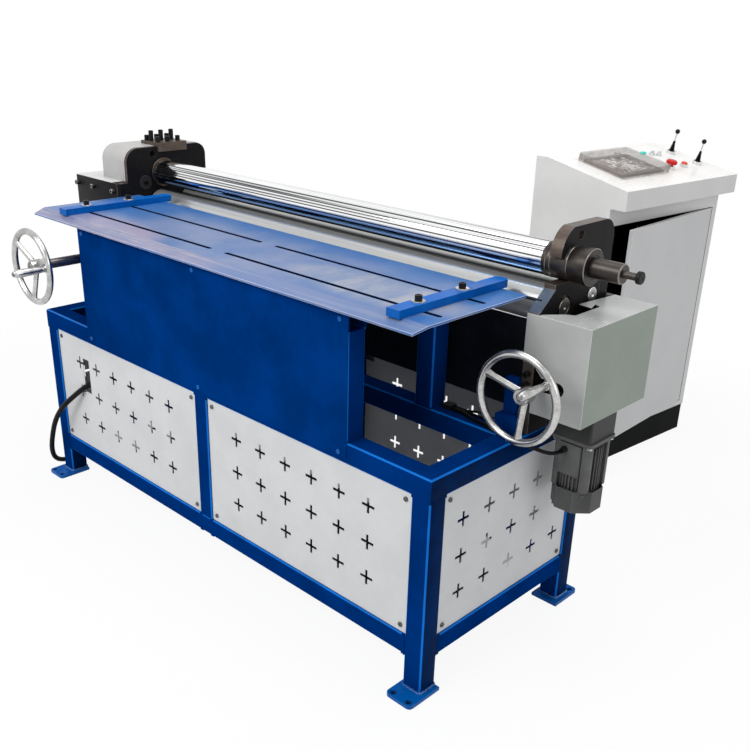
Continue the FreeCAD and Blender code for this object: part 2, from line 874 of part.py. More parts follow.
def side_plate_right():
    x0 = right_plate_x
    x1 = x0 + plate_thickness
    seat = sleeve_r + seat_gap
    ledge = (right_ledge_front, top_roll_z - seat)
    under = (top_roll_y, top_roll_z - seat)
    lip_y = top_roll_y - math.sqrt(seat ** 2 - (hook_tip_z - top_roll_z) ** 2)
    back_z = plate_top - right_back_radius
    corner = (right_back - right_back_radius, back_z)
    hook_top = (hook_top_y, plate_top)
    edges = [line_yz(x0, (right_front, base_height), (right_front, right_shoulder_z)),
             line_yz(x0, (right_front, right_shoulder_z), (right_ledge_front, right_slope_top)),
             line_yz(x0, (right_ledge_front, right_slope_top), ledge),
             line_yz(x0, ledge, under),
             arc_yz(x0, under, (top_roll_y + seat, top_roll_z), (lip_y, hook_tip_z)),
             line_yz(x0, (lip_y, hook_tip_z), (hook_tip_y, hook_tip_z)),
             arc_yz(x0, (hook_tip_y, hook_tip_z), (hook_bulge_y, plate_top - hook_bulge_drop), hook_top),
             line_yz(x0, hook_top, (corner[0], plate_top)),
             arc_yz(x0, (corner[0], plate_top), round_mid(corner, right_back_radius, 45),
                    (right_back, back_z)),
             line_yz(x0, (right_back, back_z), (right_back, base_height)),
             line_yz(x0, (right_back, base_height), (right_front, base_height))]
    plate = closed_plate(edges, plate_thickness)
    cuts = [block_window(x0),
            rod_x(front_roll_y, front_roll_z, front_bush_r, x0 - 1, x1 + 1),
            rod_x(front_roll_y, drive_z, drive_bush_r, x0 - 1, x1 + 1),
            rod_x(right_lifting_hole[0], right_lifting_hole[1], lifting_hole_r, x0 - 1, x1 + 1),
            rod_x(tie_rod_y, tie_rod_z, tie_rod_r + running_fit, x0 - 1, x0 + plate_thickness / 2)]
    for z in edge_screw_z:
        cuts.append(rod_y(x0 + plate_thickness / 2, z, cap_shank_r + screw_gap, right_front - 1,
                          right_front + cap_shank_in + 1))
    return plate.cut(cuts)


# Bed plate under the rolls and the rod under the table's rear edge, both between the side plates
def cross_members():
    x0 = left_plate_x + plate_thickness
    bed = box(x0, right_plate_x, bed_front, bed_front + bed_thickness, bed_bottom, bed_top)
    hole_r = left_shaft_r + shaft_hole_gap
    bed = bed.cut(rod_y(left_wheel_x, left_wheel_z, hole_r, bed_front - 1, bed_front + bed_thickness + 1))
    half = plate_thickness / 2
    tie = rod_x(tie_rod_y, tie_rod_z, tie_rod_r, x0 - half, right_plate_x + half)
    return [bed, tie]


def tie_screw_left_x():
    return left_plate_x + plate_thickness - tie_screw_inset


def tie_screw_places():
    outer = outer_plate_left + outer_plate_thickness / 2
    middle = middle_plate_right - middle_plate_thickness / 2
    return [outer, middle, tie_screw_left_x()]


def gear_plates():
    front = tie_plate_front + tie_plate_thickness
    x_mid = middle_plate_right - middle_plate_thickness
    x_out = outer_plate_left + outer_plate_thickness
    middle = box(x_mid, middle_plate_right, front, left_back, case_bottom, case_top)
    outer = box(outer_plate_left, x_out, front, left_back, outer_plate_bottom, case_top)
    right = left_plate_x + plate_thickness
    tie = box(outer_plate_left, right, tie_plate_front, front, case_bottom, case_top)
    back = box(outer_plate_left, right, left_back, left_back + tie_plate_thickness, case_bottom, case_top)
    plates = [middle, outer, tie, back]
    for x in tie_screw_places():
        hole = rod_y(x, tie_screw_z, cap_shank_r + screw_gap, tie_plate_front - 1, front + cap_shank_in + 1)
        plates = [plate.cut(hole) for plate in plates]
    return plates


# Pale deck on the gear plates, and the bent sheet over the gears with its end wall
def gear_cover():
    deck_top = case_top + deck_thickness
    deck = box(outer_plate_left, left_plate_x, tie_plate_front, left_back, case_top, deck_top)
    hole = box(deck_opening_left, left_plate_x, deck_opening_front, deck_opening_back, case_top, deck_top)
    width = gear_cover_right - gear_cover_left
    t = gear_cover_t
    outer = closed_plate(left_profile(gear_cover_left, deck_top, t), width)
    inner = closed_plate(left_profile(gear_cover_left + t, deck_top), width)
    shell = outer.cut(inner)
    clamp_back = clamp_plate_front + clamp_plate_depth
    room = box(clamp_plate_left - t, gear_cover_right + 1, clamp_plate_front - t, clamp_back + t,
               plate_top - 1, plate_top + t + 1)
    return [deck.cut(hole), shell.cut(room)]


def clamp_screw_places():
    rows = [clamp_plate_front + clamp_plate_depth * k for k in (0.12, 0.46, 0.82)]
    right = clamp_plate_right - 24.0
    left = clamp_plate_left + 16.0
    middle = (left + right) / 2 - 6.0
    places = [(right, y, False) for y in rows]
    places += [(left, y, False) for y in rows]
    places += [(middle, y, True) for y in rows]
    return places


def clamp_plate():
    back = clamp_plate_front + clamp_plate_depth
    top = plate_top + clamp_plate_t
    plate = box(clamp_plate_left, clamp_plate_right, clamp_plate_front, back, plate_top, top)
    lip_left = left_plate_x + plate_thickness
    lip = box(lip_left, clamp_plate_right, clamp_plate_front, back, plate_top - clamp_lip_drop, plate_top)
    plate = plate.fuse(lip)
    for x, y, tall in clamp_screw_places():
        plate = plate.cut(rod_z(x, y, cap_shank_r + screw_gap, plate_top - 1, top + 1))
    return plate.removeSplitter()


# Socket cap screw standing on a face, head outwards along a direction
def cap_screw(place, out, into, head_h=cap_head_h):
    back = Vector(out.x, out.y, out.z)
    back.multiply(-1)
    head = Part.makeCylinder(cap_head_r, head_h, place, out)
    top = place + Vector(out.x, out.y, out.z).multiply(head_h - cap_socket_depth)
    socket = Part.makeCylinder(cap_socket_r, cap_socket_depth + 1, top, out)
    return head.cut(socket).fuse(Part.makeCylinder(cap_shank_r, into, place, back))


def cap_screws():
    screws = []
    for x in tie_screw_places():
        into = tie_plate_thickness + cap_shank_in
        screws.append(cap_screw(Vector(x, tie_plate_front, tie_screw_z), Vector(0, -1, 0), into))
    for z in edge_screw_z:
        place = Vector(right_plate_x + plate_thickness / 2, right_front, z)
        screws.append(cap_screw(place, Vector(0, -1, 0), cap_shank_in))
    top = plate_top + clamp_plate_t
    for x, y, tall in clamp_screw_places():
        on_plate = left_plate_x < x < left_plate_x + plate_thickness
        into = clamp_plate_t + (cap_shank_in - 2 if on_plate else 0)
        head_h = tall_screw_up if tall else clamp_screw_up
        screws.append(cap_screw(Vector(x, y, top), Vector(0, 0, 1), into, head_h))
    x1 = left_plate_x + plate_thickness
    disc = rod_x(plug_disc[0], plug_disc[1], plug_disc_r, x1, x1 + plug_disc_t)
    shank_r = cap_shank_r + screw_gap
    screws.append(disc.cut(rod_x(plug_disc[0], plug_disc[1], shank_r, x1 - 1, x1 + plug_disc_t + 1)))
    place = Vector(x1 + plug_disc_t, plug_disc[0], plug_disc[1])
    screws.append(cap_screw(place, Vector(1, 0, 0), plug_disc_t + cap_shank_in - 2, cap_head_h / 2))
    return screws


def roll_bushes():
    left = left_plate_x
    left_in = left + plate_thickness
    right_out = right_plate_x + plate_thickness - bush_recess
    f = running_fit
    bushes = []
    for x0, x1 in ((left, left_in), (right_plate_x, right_out)):
        outer = rod_x(front_roll_y, front_roll_z, front_bush_r, x0, x1)
        bushes.append(ring(outer, rod_x(front_roll_y, front_roll_z, front_journal_r + f, x0 - 1, x1 + 1)))
    outer = joined([rod_x(top_roll_y, top_roll_z, top_bush_r, left, left_in),
                    rod_x(top_roll_y, top_roll_z, top_flange_r, left_in, left_in + top_flange_t)])
    bore = rod_x(top_roll_y, top_roll_z, top_journal_r + f, left - 1, left_in + top_flange_t + 1)
    bushes.append(ring(outer, bore))
    for x0 in (left, right_plate_x):
        x1 = x0 + plate_thickness
        outer = rod_x(front_roll_y, drive_z, drive_bush_r, x0, x1)
        bushes.append(ring(outer, rod_x(front_roll_y, drive_z, drive_shaft_r + f, x0 - 1, x1 + 1)))
    return bushes


def front_roll():
    body = rod_x(front_roll_y, front_roll_z, front_roll_r, front_roll_left, front_roll_right)
    right_end = right_plate_x + plate_thickness + 2
    journal = rod_x(front_roll_y, front_roll_z, front_journal_r, shaft_left_x, right_end)
    centre = rod_x(front_roll_y, front_roll_z, front_journal_r / 4, right_end - 6, right_end + 1)
    return joined([body, journal]).cut(centre)


def top_roll():
    def part(r, x0, x1):
        return rod_x(top_roll_y, top_roll_z, r, x0, x1)
    collar_end = top_roll_right + top_collar_length
    body = part(top_roll_r, top_roll_left, top_roll_right)
    collar = part(top_collar_r, top_roll_right, collar_end)
    collar = collar.makeChamfer(2.0, [e for e in collar.Edges if e.Closed])
    disc = part(end_disc_r, spindle_end, spindle_end + end_disc_length)
    disc = disc.makeChamfer(1.5, [e for e in disc.Edges if e.Closed])
    return joined([part(top_journal_r, shaft_left_x, top_roll_left), body, collar,
                   part(stub_r, collar_end, stub_end), part(spindle_r, stub_end, spindle_end), disc])


def rear_roll():
    body = rod_x(rear_roll_y, rear_roll_z, rear_roll_r, rear_roll_left, rear_roll_right)
    end = right_plate_x + plate_thickness + 4
    return joined([body, rod_x(rear_roll_y, rear_roll_z, rear_journal_r, left_plate_x - 4, end)])


# Involute gear in the YZ plane, first tooth at the given angle from +Y towards +Z
def gear(y, z, teeth, first, x0, x1, bore):
    pitch_r = gear_module * teeth / 2
    base_r = pitch_r * math.cos(math.radians(pressure_angle))
    tip_r = pitch_r + 0.95 * gear_module
    root_r = pitch_r - 1.25 * gear_module
    start_r = max(base_r, root_r + 0.3)
    pitch_inv = math.tan(math.radians(pressure_angle)) - math.radians(pressure_angle)
    half_tooth = (math.pi * gear_module / 2 - gear_backlash) / 2 / pitch_r + pitch_inv

    def flank(r):
        a = math.acos(min(1.0, base_r / r))
        return half_tooth - (math.tan(a) - a)

    def point(r, angle):
        return Vector(x0, y + r * math.cos(angle), z + r * math.sin(angle))

    edges = []
    step = 2 * math.pi / teeth
    middle_r = (start_r + tip_r) / 2
    for k in range(teeth):
        c = math.radians(first) + k * step
        left_root = point(root_r, c - flank(start_r))
        left_start = point(start_r, c - flank(start_r))
        left_tip = point(tip_r, c - flank(tip_r))
        right_tip = point(tip_r, c + flank(tip_r))
        right_start = point(start_r, c + flank(start_r))
        right_root = point(root_r, c + flank(start_r))
        next_root = point(root_r, c + step - flank(start_r))
        edges.append(Part.LineSegment(left_root, left_start).toShape())
        edges.append(Part.Arc(left_start, point(middle_r, c - flank(middle_r)), left_tip).toShape())
        edges.append(Part.Arc(left_tip, point(tip_r, c), right_tip).toShape())
        edges.append(Part.Arc(right_tip, point(middle_r, c + flank(middle_r)), right_start).toShape())
        edges.append(Part.LineSegment(right_start, right_root).toShape())
        edges.append(Part.Arc(right_root, point(root_r, c + step / 2), next_root).toShape())
    blank = closed_plate(edges, x1 - x0)
    return blank.cut(rod_x(y, z, bore, x0 - 1, x1 + 1))


# Angle of the second gear's first tooth, so that it meshes with the first at the given direction
def mesh_angle(first, teeth, direction, other_teeth):
    phase = (direction - first) / (360.0 / teeth) % 1
    other_phase = (0.5 - phase) % 1
    return direction + 180 - other_phase * 360.0 / other_teeth


def gear_angles():
    up = 90 - top_roll_lean
    front = up
    top = mesh_angle(front, front_gear_teeth, up, top_gear_teeth)
    idler = mesh_angle(front, front_gear_teeth, -90, idler_teeth)
    pinion = mesh_angle(idler, idler_teeth, -90, pinion_teeth)
    return front, top, idler, pinion


def gears():
    front, top, idler, pinion = gear_angles()
    x0 = gear_left_x
    x1 = gear_right_x
    y = front_roll_y
    return {
        "front_roll_gear": gear(y, front_roll_z, front_gear_teeth, front, x0, x1, front_journal_r + key_fit),
        "top_roll_gear": gear(top_roll_y, top_roll_z, top_gear_teeth, top, x0, x1, top_journal_r + key_fit),
        "idler_gear": gear(y, idler_z, idler_teeth, idler, x0, x1, idler_pin_r + running_fit),
        "drive_pinion": gear(y, drive_z, pinion_teeth, pinion, x0, x1, drive_shaft_r + key_fit),
    }


def drive_shaft(pinion):
    shaft = rod_x(front_roll_y, drive_z, drive_shaft_r, shaft_left_x, motor_x)
    return [shaft, pinion]


def release_sleeve():
    end = sleeve_left + sleeve_length
    body = rod_x(top_roll_y, top_roll_z, sleeve_r, sleeve_left, end)
    rim = rod_x(top_roll_y, top_roll_z, sleeve_rim_r, end - sleeve_rim_length, end)
    bore = rod_x(top_roll_y, top_roll_z, stub_r + running_fit, sleeve_left - 1, end + 1)
    return joined([body, rim]).cut(bore)


# Sliding block with its arm and jack screw at one side plate; side is -1 at the left, 1 at the right
def roll_block(side, housing_z):
    x0 = left_plate_x if side < 0 else right_plate_x
    outer = x0 if side < 0 else x0 + plate_thickness
    half = block_half_width
    top = rear_roll_z + block_above
    block = box(x0, x0 + plate_thickness, rear_roll_y - half, rear_roll_y + half, block_bottom, top)
    reach = outer + side * arm_reach
    low_x = min(outer - side * half / 2, reach)
    high_x = max(outer - side * half / 2, reach)
    y0 = rear_roll_y - arm_half_width
    arm = box(low_x, high_x, y0, y0 + 2 * arm_half_width, block_bottom, block_bottom + arm_thickness)
    screw_x = outer + side * jack_screw_out
    screw = rod_z(screw_x, rear_roll_y, jack_screw_r, housing_z - jack_screw_tail, block_bottom)
    bore = rod_x(rear_roll_y, rear_roll_z, rear_journal_r + running_fit, x0 - 1, x0 + plate_thickness + 1)
    return joined([block, arm, screw]).cut(bore)


def rear_roll_blocks():
    return [roll_block(-1, cross_shaft_z), roll_block(1, right_wheel_z)]


# Jack housings on the plates, worm box on its shelf, bearing block and idler pin
def lift_housings():
    g = housing_bore_gap
    half = jack_housing_half
    y = rear_roll_y
    right_face = right_plate_x + plate_thickness
    right = box(right_face, right_face + jack_housing_out, y - half, y + half,
                right_wheel_z - half, right_wheel_z + half)
    right = right.cut([rod_z(right_face + jack_screw_out, y, jack_screw_r + g, 0, plate_top),
                       rod_y(right_wheel_x, right_wheel_z, right_shaft_r + g, y - half - 1,
                             right_shaft_end + 1)])
    left = box(left_plate_x - jack_housing_out, left_plate_x, y - half, y + half + cross_shaft_r,
               cross_shaft_z - half, cross_shaft_z + half)
    left = left.cut([rod_z(left_plate_x - jack_screw_out, y, jack_screw_r + g, 0, plate_top),
                     rod_x(cross_shaft_y, cross_shaft_z, cross_shaft_r + g,
                           left_plate_x - jack_housing_out / 2, left_plate_x + 1)])
    box_low = cross_shaft_z - cross_shaft_r - worm_box_margin
    box_high = left_wheel_z + left_shaft_r + worm_box_margin
    h = worm_box_half
    worm = box(left_wheel_x - h, left_wheel_x + h, cross_shaft_y - h, cross_shaft_y + h, box_low, box_high)
    worm = worm.cut([rod_y(left_wheel_x, left_wheel_z, left_shaft_r + g, cross_shaft_y - h - 1,
                           left_shaft_end + 1),
                     rod_x(cross_shaft_y, cross_shaft_z, cross_shaft_r + g, left_wheel_x - h - 1,
                           left_wheel_x + h / 2 + 1)])
    shelf = box(left_plate_x + plate_thickness, left_wheel_x + h, cross_shaft_y - h, cross_shaft_y + h,
                box_low - shelf_thickness, box_low)
    b = bearing_block_half
    back = bearing_block_front + bearing_block_length
    block = box(left_wheel_x - b, upright_left_x, bearing_block_front, back,
                left_wheel_z - b, left_wheel_z + b)
    block = block.cut(rod_y(left_wheel_x, left_wheel_z, left_shaft_r + running_fit, 0, back + 1))
    pin = rod_x(front_roll_y, idler_z, idler_pin_r, middle_plate_right, left_plate_x)
    return [right, left, worm, shelf, block, pin]


# Handwheel facing -Y: rim, hub set back by the dish, three spokes and the crank pin on one of them
def handwheel(x, y, z, dish, angle, crank_angle, bore):
    rim = Part.makeTorus(wheel_r, wheel_rim_r, Vector(x, y, z), Vector(0, 1, 0))
    hub_y = y + dish
    hub = rod_y(x, z, wheel_hub_r, hub_y - wheel_hub_length / 2, hub_y + wheel_hub_length / 2)
    pieces = [rim, hub]
    for k in range(3):
        a = math.radians(angle + 120 * k)
        out = Vector(math.cos(a), 0, math.sin(a))
        start = Vector(x, hub_y, z)
        end = Vector(x, y, z) + Vector(out).multiply(wheel_r)
        along = end - start
        pieces.append(Part.makeCone(spoke_r_hub, spoke_r_rim, along.Length, start, along))
    a = math.radians(crank_angle)
    px = x + crank_radius * math.cos(a)
    pz = z + crank_radius * math.sin(a)
    face = y - wheel_rim_r
    pieces.append(rod_y(px, pz, crank_boss_r, face, y + wheel_rim_r / 2))
    pieces.append(rod_y(px, pz, crank_pin_r, face - crank_length, face))
    pieces.append(rod_y(px, pz, crank_pin_r + 2, face - crank_length - 3, face - crank_length))
    wheel = pieces[0].multiFuse(pieces[1:])
    return wheel.cut(rod_y(x, z, bore, hub_y - wheel_hub_length, hub_y + wheel_hub_length))


# Turned crank grip that spins on its pin
def crank_handle(x, y, z, crank_angle):
    a = math.radians(crank_angle)
    px = x + crank_radius * math.cos(a)
    pz = z + crank_radius * math.sin(a)
    face = y - wheel_rim_r - crank_grip_gap
    length = crank_length - 2 * crank_grip_gap
    profile = [(0, 8.0), (0.1, 9.5), (0.35, 11.0), (0.7, 12.5), (0.9, 11.5), (1.0, 8.5)]
    points = [Vector(px + r, face - length * share, pz) for share, r in profile]
    curve = Part.BSplineCurve()
    curve.interpolate(points)
    inner = crank_pin_r + bolt_gap
    start = Vector(px + inner, face, pz)
    end = Vector(px + inner, face - length, pz)
    edges = [curve.toShape(), Part.LineSegment(points[-1], end).toShape(),
             Part.LineSegment(end, start).toShape(), Part.LineSegment(start, points[0]).toShape()]
    return Part.Face(Part.Wire(edges)).revolve(Vector(px, 0, pz), Vector(0, 1, 0), 360)


def wheel_right():
    wheel = handwheel(right_wheel_x, right_wheel_y, right_wheel_z, right_wheel_dish, right_wheel_angle,
                      right_wheel_angle, right_shaft_r + key_fit)
    start = right_wheel_y + right_wheel_dish - wheel_hub_length / 2
    return [wheel, rod_y(right_wheel_x, right_wheel_z, right_shaft_r, start, right_shaft_end)]


def wheel_left():
    wheel = handwheel(left_wheel_x, left_wheel_y, left_wheel_z, left_wheel_dish, left_wheel_angle,
                      left_crank_angle, left_shaft_r + key_fit)
    start = left_wheel_y + left_wheel_dish - wheel_hub_length / 2
    return [wheel, rod_y(left_wheel_x, left_wheel_z, left_shaft_r, start, left_shaft_end)]


def cross_shaft():
    start = left_plate_x - jack_housing_out / 2 + 1
    return rod_x(cross_shaft_y, cross_shaft_z, cross_shaft_r, start, left_wheel_x + worm_box_half / 2)


# Sheet box over the gearbox: front, right, back and top walls, open below and against the plate
def right_cover():
    s = box_sheet
    plate_face = right_plate_x + plate_thickness
    front_y = right_front - s
    outer = box(plate_face, box_right, front_y, box_back, box_bottom, box_top)
    inner = box(plate_face - 1, box_right - s, right_front, box_back - s, box_bottom - 1, box_top - s)
    shell = outer.cut(inner)
    ear = box(right_plate_x, plate_face, front_y, right_front, box_notch_z, box_top)
    shell = joined([shell, ear])
    r = box_slot_half
    slot_x0 = box_slot_left + r
    slot_x1 = box_slot_right - r
    y0 = front_y - 1
    y1 = right_front + 1
    opening = joined([box(slot_x0, slot_x1, y0, y1, box_slot_z - r, box_slot_z + r),
                      rod_y(slot_x0, box_slot_z, r, y0, y1), rod_y(slot_x1, box_slot_z, r, y0, y1)])
    mouth = [(-1, 14), (2, 14), (38, 57), (58, 68), (58, 180), (38, 188), (50, 153), (10, 159),
             (26, 303), (-1, 303)]
    points = [(plate_face + x, right_front + y) for x, y in mouth]
    shell = shell.cut(opening).cut(sheet_xy(points, box_top - s - 1, box_top + 1))
    notch = [Vector(plate_face + x, front_y - 1, base_height + z) for x, z in box_notch]
    return shell.cut(prism(notch, Vector(0, s + 2, 0)))


def gearbox():
    h = gearbox_half
    body = box(gearbox_left, gearbox_left + 2 * h - 8, motor_y - h, motor_y + h, gearbox_bottom, gearbox_top)
    tall = gearbox_top - gearbox_bottom
    body = body.makeFillet(6.0, [e for e in body.Edges if abs(e.BoundBox.ZLength - tall) < 0.01])
    neck = rod_x(front_roll_y, drive_z, gearbox_neck_r, right_plate_x + plate_thickness, gearbox_left + 1)
    bore = rod_x(front_roll_y, drive_z, drive_shaft_r + running_fit, right_plate_x, motor_x + 0.5)
    return body.fuse(neck).removeSplitter().cut(bore)


# Upright rib at one corner of the motor's frame, rounded outside, that stops above the fan cover
def corner_rib(sx, sy, top):
    far_x = motor_x + sx * motor_corner_half
    far_y = motor_y + sy * motor_corner_half
    near_x = far_x - sx * motor_corner_side
    near_y = far_y - sy * motor_corner_side
    rib = box(min(far_x, near_x), max(far_x, near_x), min(far_y, near_y), max(far_y, near_y),
              fan_cover_top + cover_seat_gap, top)
    outer = [e for e in rib.Edges if abs(e.BoundBox.ZLength - rib.BoundBox.ZLength) < 0.01
             and abs(e.BoundBox.XMin - far_x) < 0.01 and abs(e.BoundBox.YMin - far_y) < 0.01]
    return rib.makeFillet(motor_corner_r, outer)


def motor_body():
    top = gearbox_bottom
    h = motor_flange_half
    flange = box(motor_x - h, motor_x + h, motor_y - h, motor_y + h, top - motor_flange_t, top)
    upright = [e for e in flange.Edges if abs(e.BoundBox.ZLength - motor_flange_t) < 0.01]
    flange = flange.makeFillet(10.0, upright)
    core = rod_z(motor_x, motor_y, motor_core_r, motor_bottom, top - motor_flange_t)
    fins = []
    for k in range(motor_fins // 2):
        fin = box(-motor_fin_r, motor_fin_r, -motor_fin_t / 2, motor_fin_t / 2, motor_bottom + 14, top - 24)
        fins.append(placed(fin, 360.0 * k / motor_fins + 5, Vector(motor_x, motor_y, 0)))
    for sx in (-1, 1):
        for sy in (-1, 1):
            fins.append(corner_rib(sx, sy, top - motor_flange_t))
    t = terminal_half
    terminal = box(motor_x - t, motor_x + t, motor_y - terminal_out, motor_y, terminal_bottom, terminal_top)
    body = core.multiFuse(fins + [flange, terminal])
    body = body.cut(rod_z(motor_x, motor_y, rotor_shaft_r + running_fit, motor_bottom - 1, rotor_top + 1))
    gland_hole = rod_y(gland_x, gland_z, gland_r - 2, motor_y - terminal_out - 1, motor_y - terminal_out + 8)
    return body.cut(gland_hole)


def octagon(flat, z0, z1):
    r = flat / math.cos(math.radians(22.5))
    points = []
    for k in range(8):
        a = math.radians(45 * k + 22.5)
        points.append((motor_x + r * math.cos(a), motor_y + r * math.sin(a)))
    return sheet_xy(points, z0, z1)


# Octagonal shell with air slots in its floor, pushed over the motor's end
def fan_cover():
    outer = octagon(fan_cover_flat, fan_cover_bottom, fan_cover_top)
    inner = octagon(fan_cover_flat - fan_cover_wall, fan_cover_bottom + fan_cover_wall, fan_cover_top + 1)
    shell = outer.cut(inner)
    cuts = []
    for k in range(-3, 4):
        if k == 0:
            continue
        y = motor_y + k * 2.4 * fan_slot_width
        half = math.sqrt((fan_r - 6) ** 2 - (y - motor_y) ** 2)
        cuts.append(box(motor_x - half, motor_x + half, y - fan_slot_width / 2, y + fan_slot_width / 2,
                        fan_cover_bottom - 1, fan_cover_bottom + fan_cover_wall + 1))
    shell = shell.cut(cuts)
    lugs = []
    for k in range(4):
        a = math.radians(90 * k + 45)
        x = motor_x + (motor_core_r + 6) * math.cos(a)
        y = motor_y + (motor_core_r + 6) * math.sin(a)
        lug = rod_z(x, y, 9.0, motor_bottom, fan_cover_top - 4)
        core = rod_z(motor_x, motor_y, motor_core_r + 0.2, motor_bottom, fan_cover_top)
        lugs.append(lug.common(inner).cut(core))
    return joined([shell] + lugs)


def motor_fan():
    low = fan_cover_bottom + fan_cover_wall + fan_floor_gap
    shaft = rod_z(motor_x, motor_y, rotor_shaft_r, low, rotor_top)
    hub = rod_z(motor_x, motor_y, fan_hub_r, low, low + fan_height - 6)
    blades = []
    for k in range(fan_blades):
        blade = box(fan_hub_r - 3, fan_r, -fan_blade_t / 2, fan_blade_t / 2, low, low + fan_height)
        blades.append(placed(blade, 360.0 * k / fan_blades, Vector(motor_x, motor_y, 0)))
    return joined([shaft, hub] + blades)


# Path of straight runs joined by tangent arcs, each as large as its two runs allow
def route_wire(name, points):
    corners = [Vector(*p) for p in points]
    edges = []
    radii = []
    here = corners[0]
    for i in range(1, len(corners) - 1):
        before = corners[i] - corners[i - 1]
        after = corners[i + 1] - corners[i]
        half = before.getAngle(after) / 2
        radius = 0.45 * min(before.Length, after.Length) / math.tan(half)
        back = radius * math.tan(half)
        u = before.normalize()
        v = after.normalize()
        start = corners[i] - Vector(u).multiply(back)
        end = corners[i] + Vector(v).multiply(back)
        inward = (v - u).normalize()
        middle = corners[i] + inward.multiply(radius / math.cos(half) - radius)
        edges.append(Part.LineSegment(here, start).toShape())
        edges.append(Part.Arc(start, middle, end).toShape())
        radii.append(round(radius))
        here = end
    edges.append(Part.LineSegment(here, corners[-1]).toShape())
    print(name, "radii", radii)
    return Part.Wire(edges)


def tube_on(name, wire, r):
    edge = wire.OrderedEdges[0]
    start = edge.valueAt(edge.FirstParameter)
    direction = edge.tangentAt(edge.FirstParameter)
    if (start - wire.OrderedVertexes[0].Point).Length > 0.01:
        start = edge.valueAt(edge.LastParameter)
        direction = edge.tangentAt(edge.LastParameter).multiply(-1)
    profile = Part.Wire(Part.Circle(start, direction, r).toShape())
    solid = wire.makePipeShell([profile], True, False)
    if solid.Volume < 0:
        solid.reverse()
    expected = math.pi * r * r * wire.Length
    print(name, "length", round(wire.Length), "volume ratio", round(solid.Volume / expected, 4))
    return solid


def cable(name, points, r):
    return tube_on(name, route_wire(name, points), r)


def frame_cables():
    beam_top = base_height
    r = frame_cable_r
    gland_front = motor_y - terminal_out - gland_length
    rest = beam_top + r + 0.3
    x0 = connector_right
    back = inner_beam_front + tube
    motor_points = [(gland_x, gland_front, gland_z), (gland_x, gland_front - 28, gland_z),
                    (gland_x - 14, gland_front - 62, gland_z + 12),
                    (gland_x - 44, gland_front - 92, gland_z + 30),
                    (gland_x - 84, gland_front - 110, rest + 4), (gland_x - 130, gland_front - 110, rest + 2),
                    (gland_x - 180, gland_front - 88, rest), (gland_x - 228, gland_front - 84, rest),
                    (x0 + 40, back - 24, rest), (x0, back - 24, rest)]
    s = beam_cable_r
    low = beam_top + s + 0.3
    end = junction_top
    first = [(x0, back - 13.5, low), (x0 + 28, back - 13.5, low), (x0 + 62, back - 10, low),
             (x0 + 94, back - 14, low), (x0 + 124, back - 3, low + 8), (x0 + 148, back + 18, low),
             (x0 + 150, back + 20, low - 32), (x0 + 150, back + 20, end)]
    second = [(x0, back - 5, low), (x0 + 20, back - 5, low), (x0 + 44, back - 3, low),
              (x0 + 72, back - 1, low + 7), (x0 + 104, back + 17, low + 1), (x0 + 108, back + 20, low - 30),
              (x0 + 108, back + 20, end)]
    return [cable("motor cable", motor_points, r), cable("beam cable one", first, s),
            cable("beam cable two", second, s)]


# Cable gland on the motor, connector on the beam and the box that the mains cable runs into
def wiring_fittings():
    face = motor_y - terminal_out
    gland = joined([rod_y(gland_x, gland_z, gland_r, face - 6, face),
                    rod_y(gland_x, gland_z, gland_r - 1.5, face - gland_length, face - 6),
                    rod_y(gland_x, gland_z, gland_r - 3, face, face + 6)])
    x1 = connector_right
    y1 = inner_beam_front + tube
    low = base_height
    plug = box(x1 - connector_length, x1, y1 - connector_width, y1, low, low + connector_height)
    junction_left = x1 + 82
    junction = box(junction_left, junction_left + junction_length, y1, y1 + junction_depth,
                   junction_top - junction_height, junction_top)
    y0 = panel_recess + panel_thickness
    z1 = terminal_box_bottom + terminal_box_height
    x2 = terminal_box_x + terminal_box_width
    housing = box(terminal_box_x, x2, y0, y0 + terminal_box_depth, terminal_box_bottom, z1)
    start = Vector(*mains_route[0])
    inward = (start - Vector(*mains_route[1])).normalize()
    entry = Part.makeCylinder(entry_gland_r, entry_gland_length, start, inward)
    return [gland, plug, junction, joined([housing, entry])]


mains_route = [(282, 62, 446), (224, 4, 400), (168, -16, 352), (112, -36, 300),
               (62, -46, 236), (24, -46, 162), (-6, -42, 92), (-27, -22, 38), (-42, 26, 12),
               (-48, 86, 9.3), (-52, 170, 9.3), (-46, 300, 9.3), (-55, 440, 9.3), (-48, 580, 9.3),
               (-44, 690, 9.3), (-20, 770, 9.3), (50, 800, 9.3), (132, 800, 9.3)]


# Two arcs that leave one point along its direction and reach the other along its own
def biarc(p0, t0, p1, t1):
    v = p1 - p0
    t = t0 + t1
    k = 2 * (1 - t0.dot(t1))
    if abs(k) < 1e-9:
        d = v.dot(v) / (4 * v.dot(t1))
    else:
        d = (-v.dot(t) + math.sqrt(v.dot(t) ** 2 + k * v.dot(v))) / k
    a = p0 + Vector(t0).multiply(d)
    b = p1 - Vector(t1).multiply(d)
    middle = (a + b).multiply(0.5)
    edges = []
    for start, corner, end in ((p0, a, middle), (middle, b, p1)):
        half_chord = (end - start).Length / 2
        chord_mid = (start + end).multiply(0.5)
        cosine = half_chord / d
        sine = math.sqrt(1 - cosine ** 2)
        radius = d * cosine / sine
        inward = (chord_mid - corner).normalize()
        edges.append(Part.Arc(start, corner + inward.multiply(radius / cosine - radius), end).toShape())
    return edges


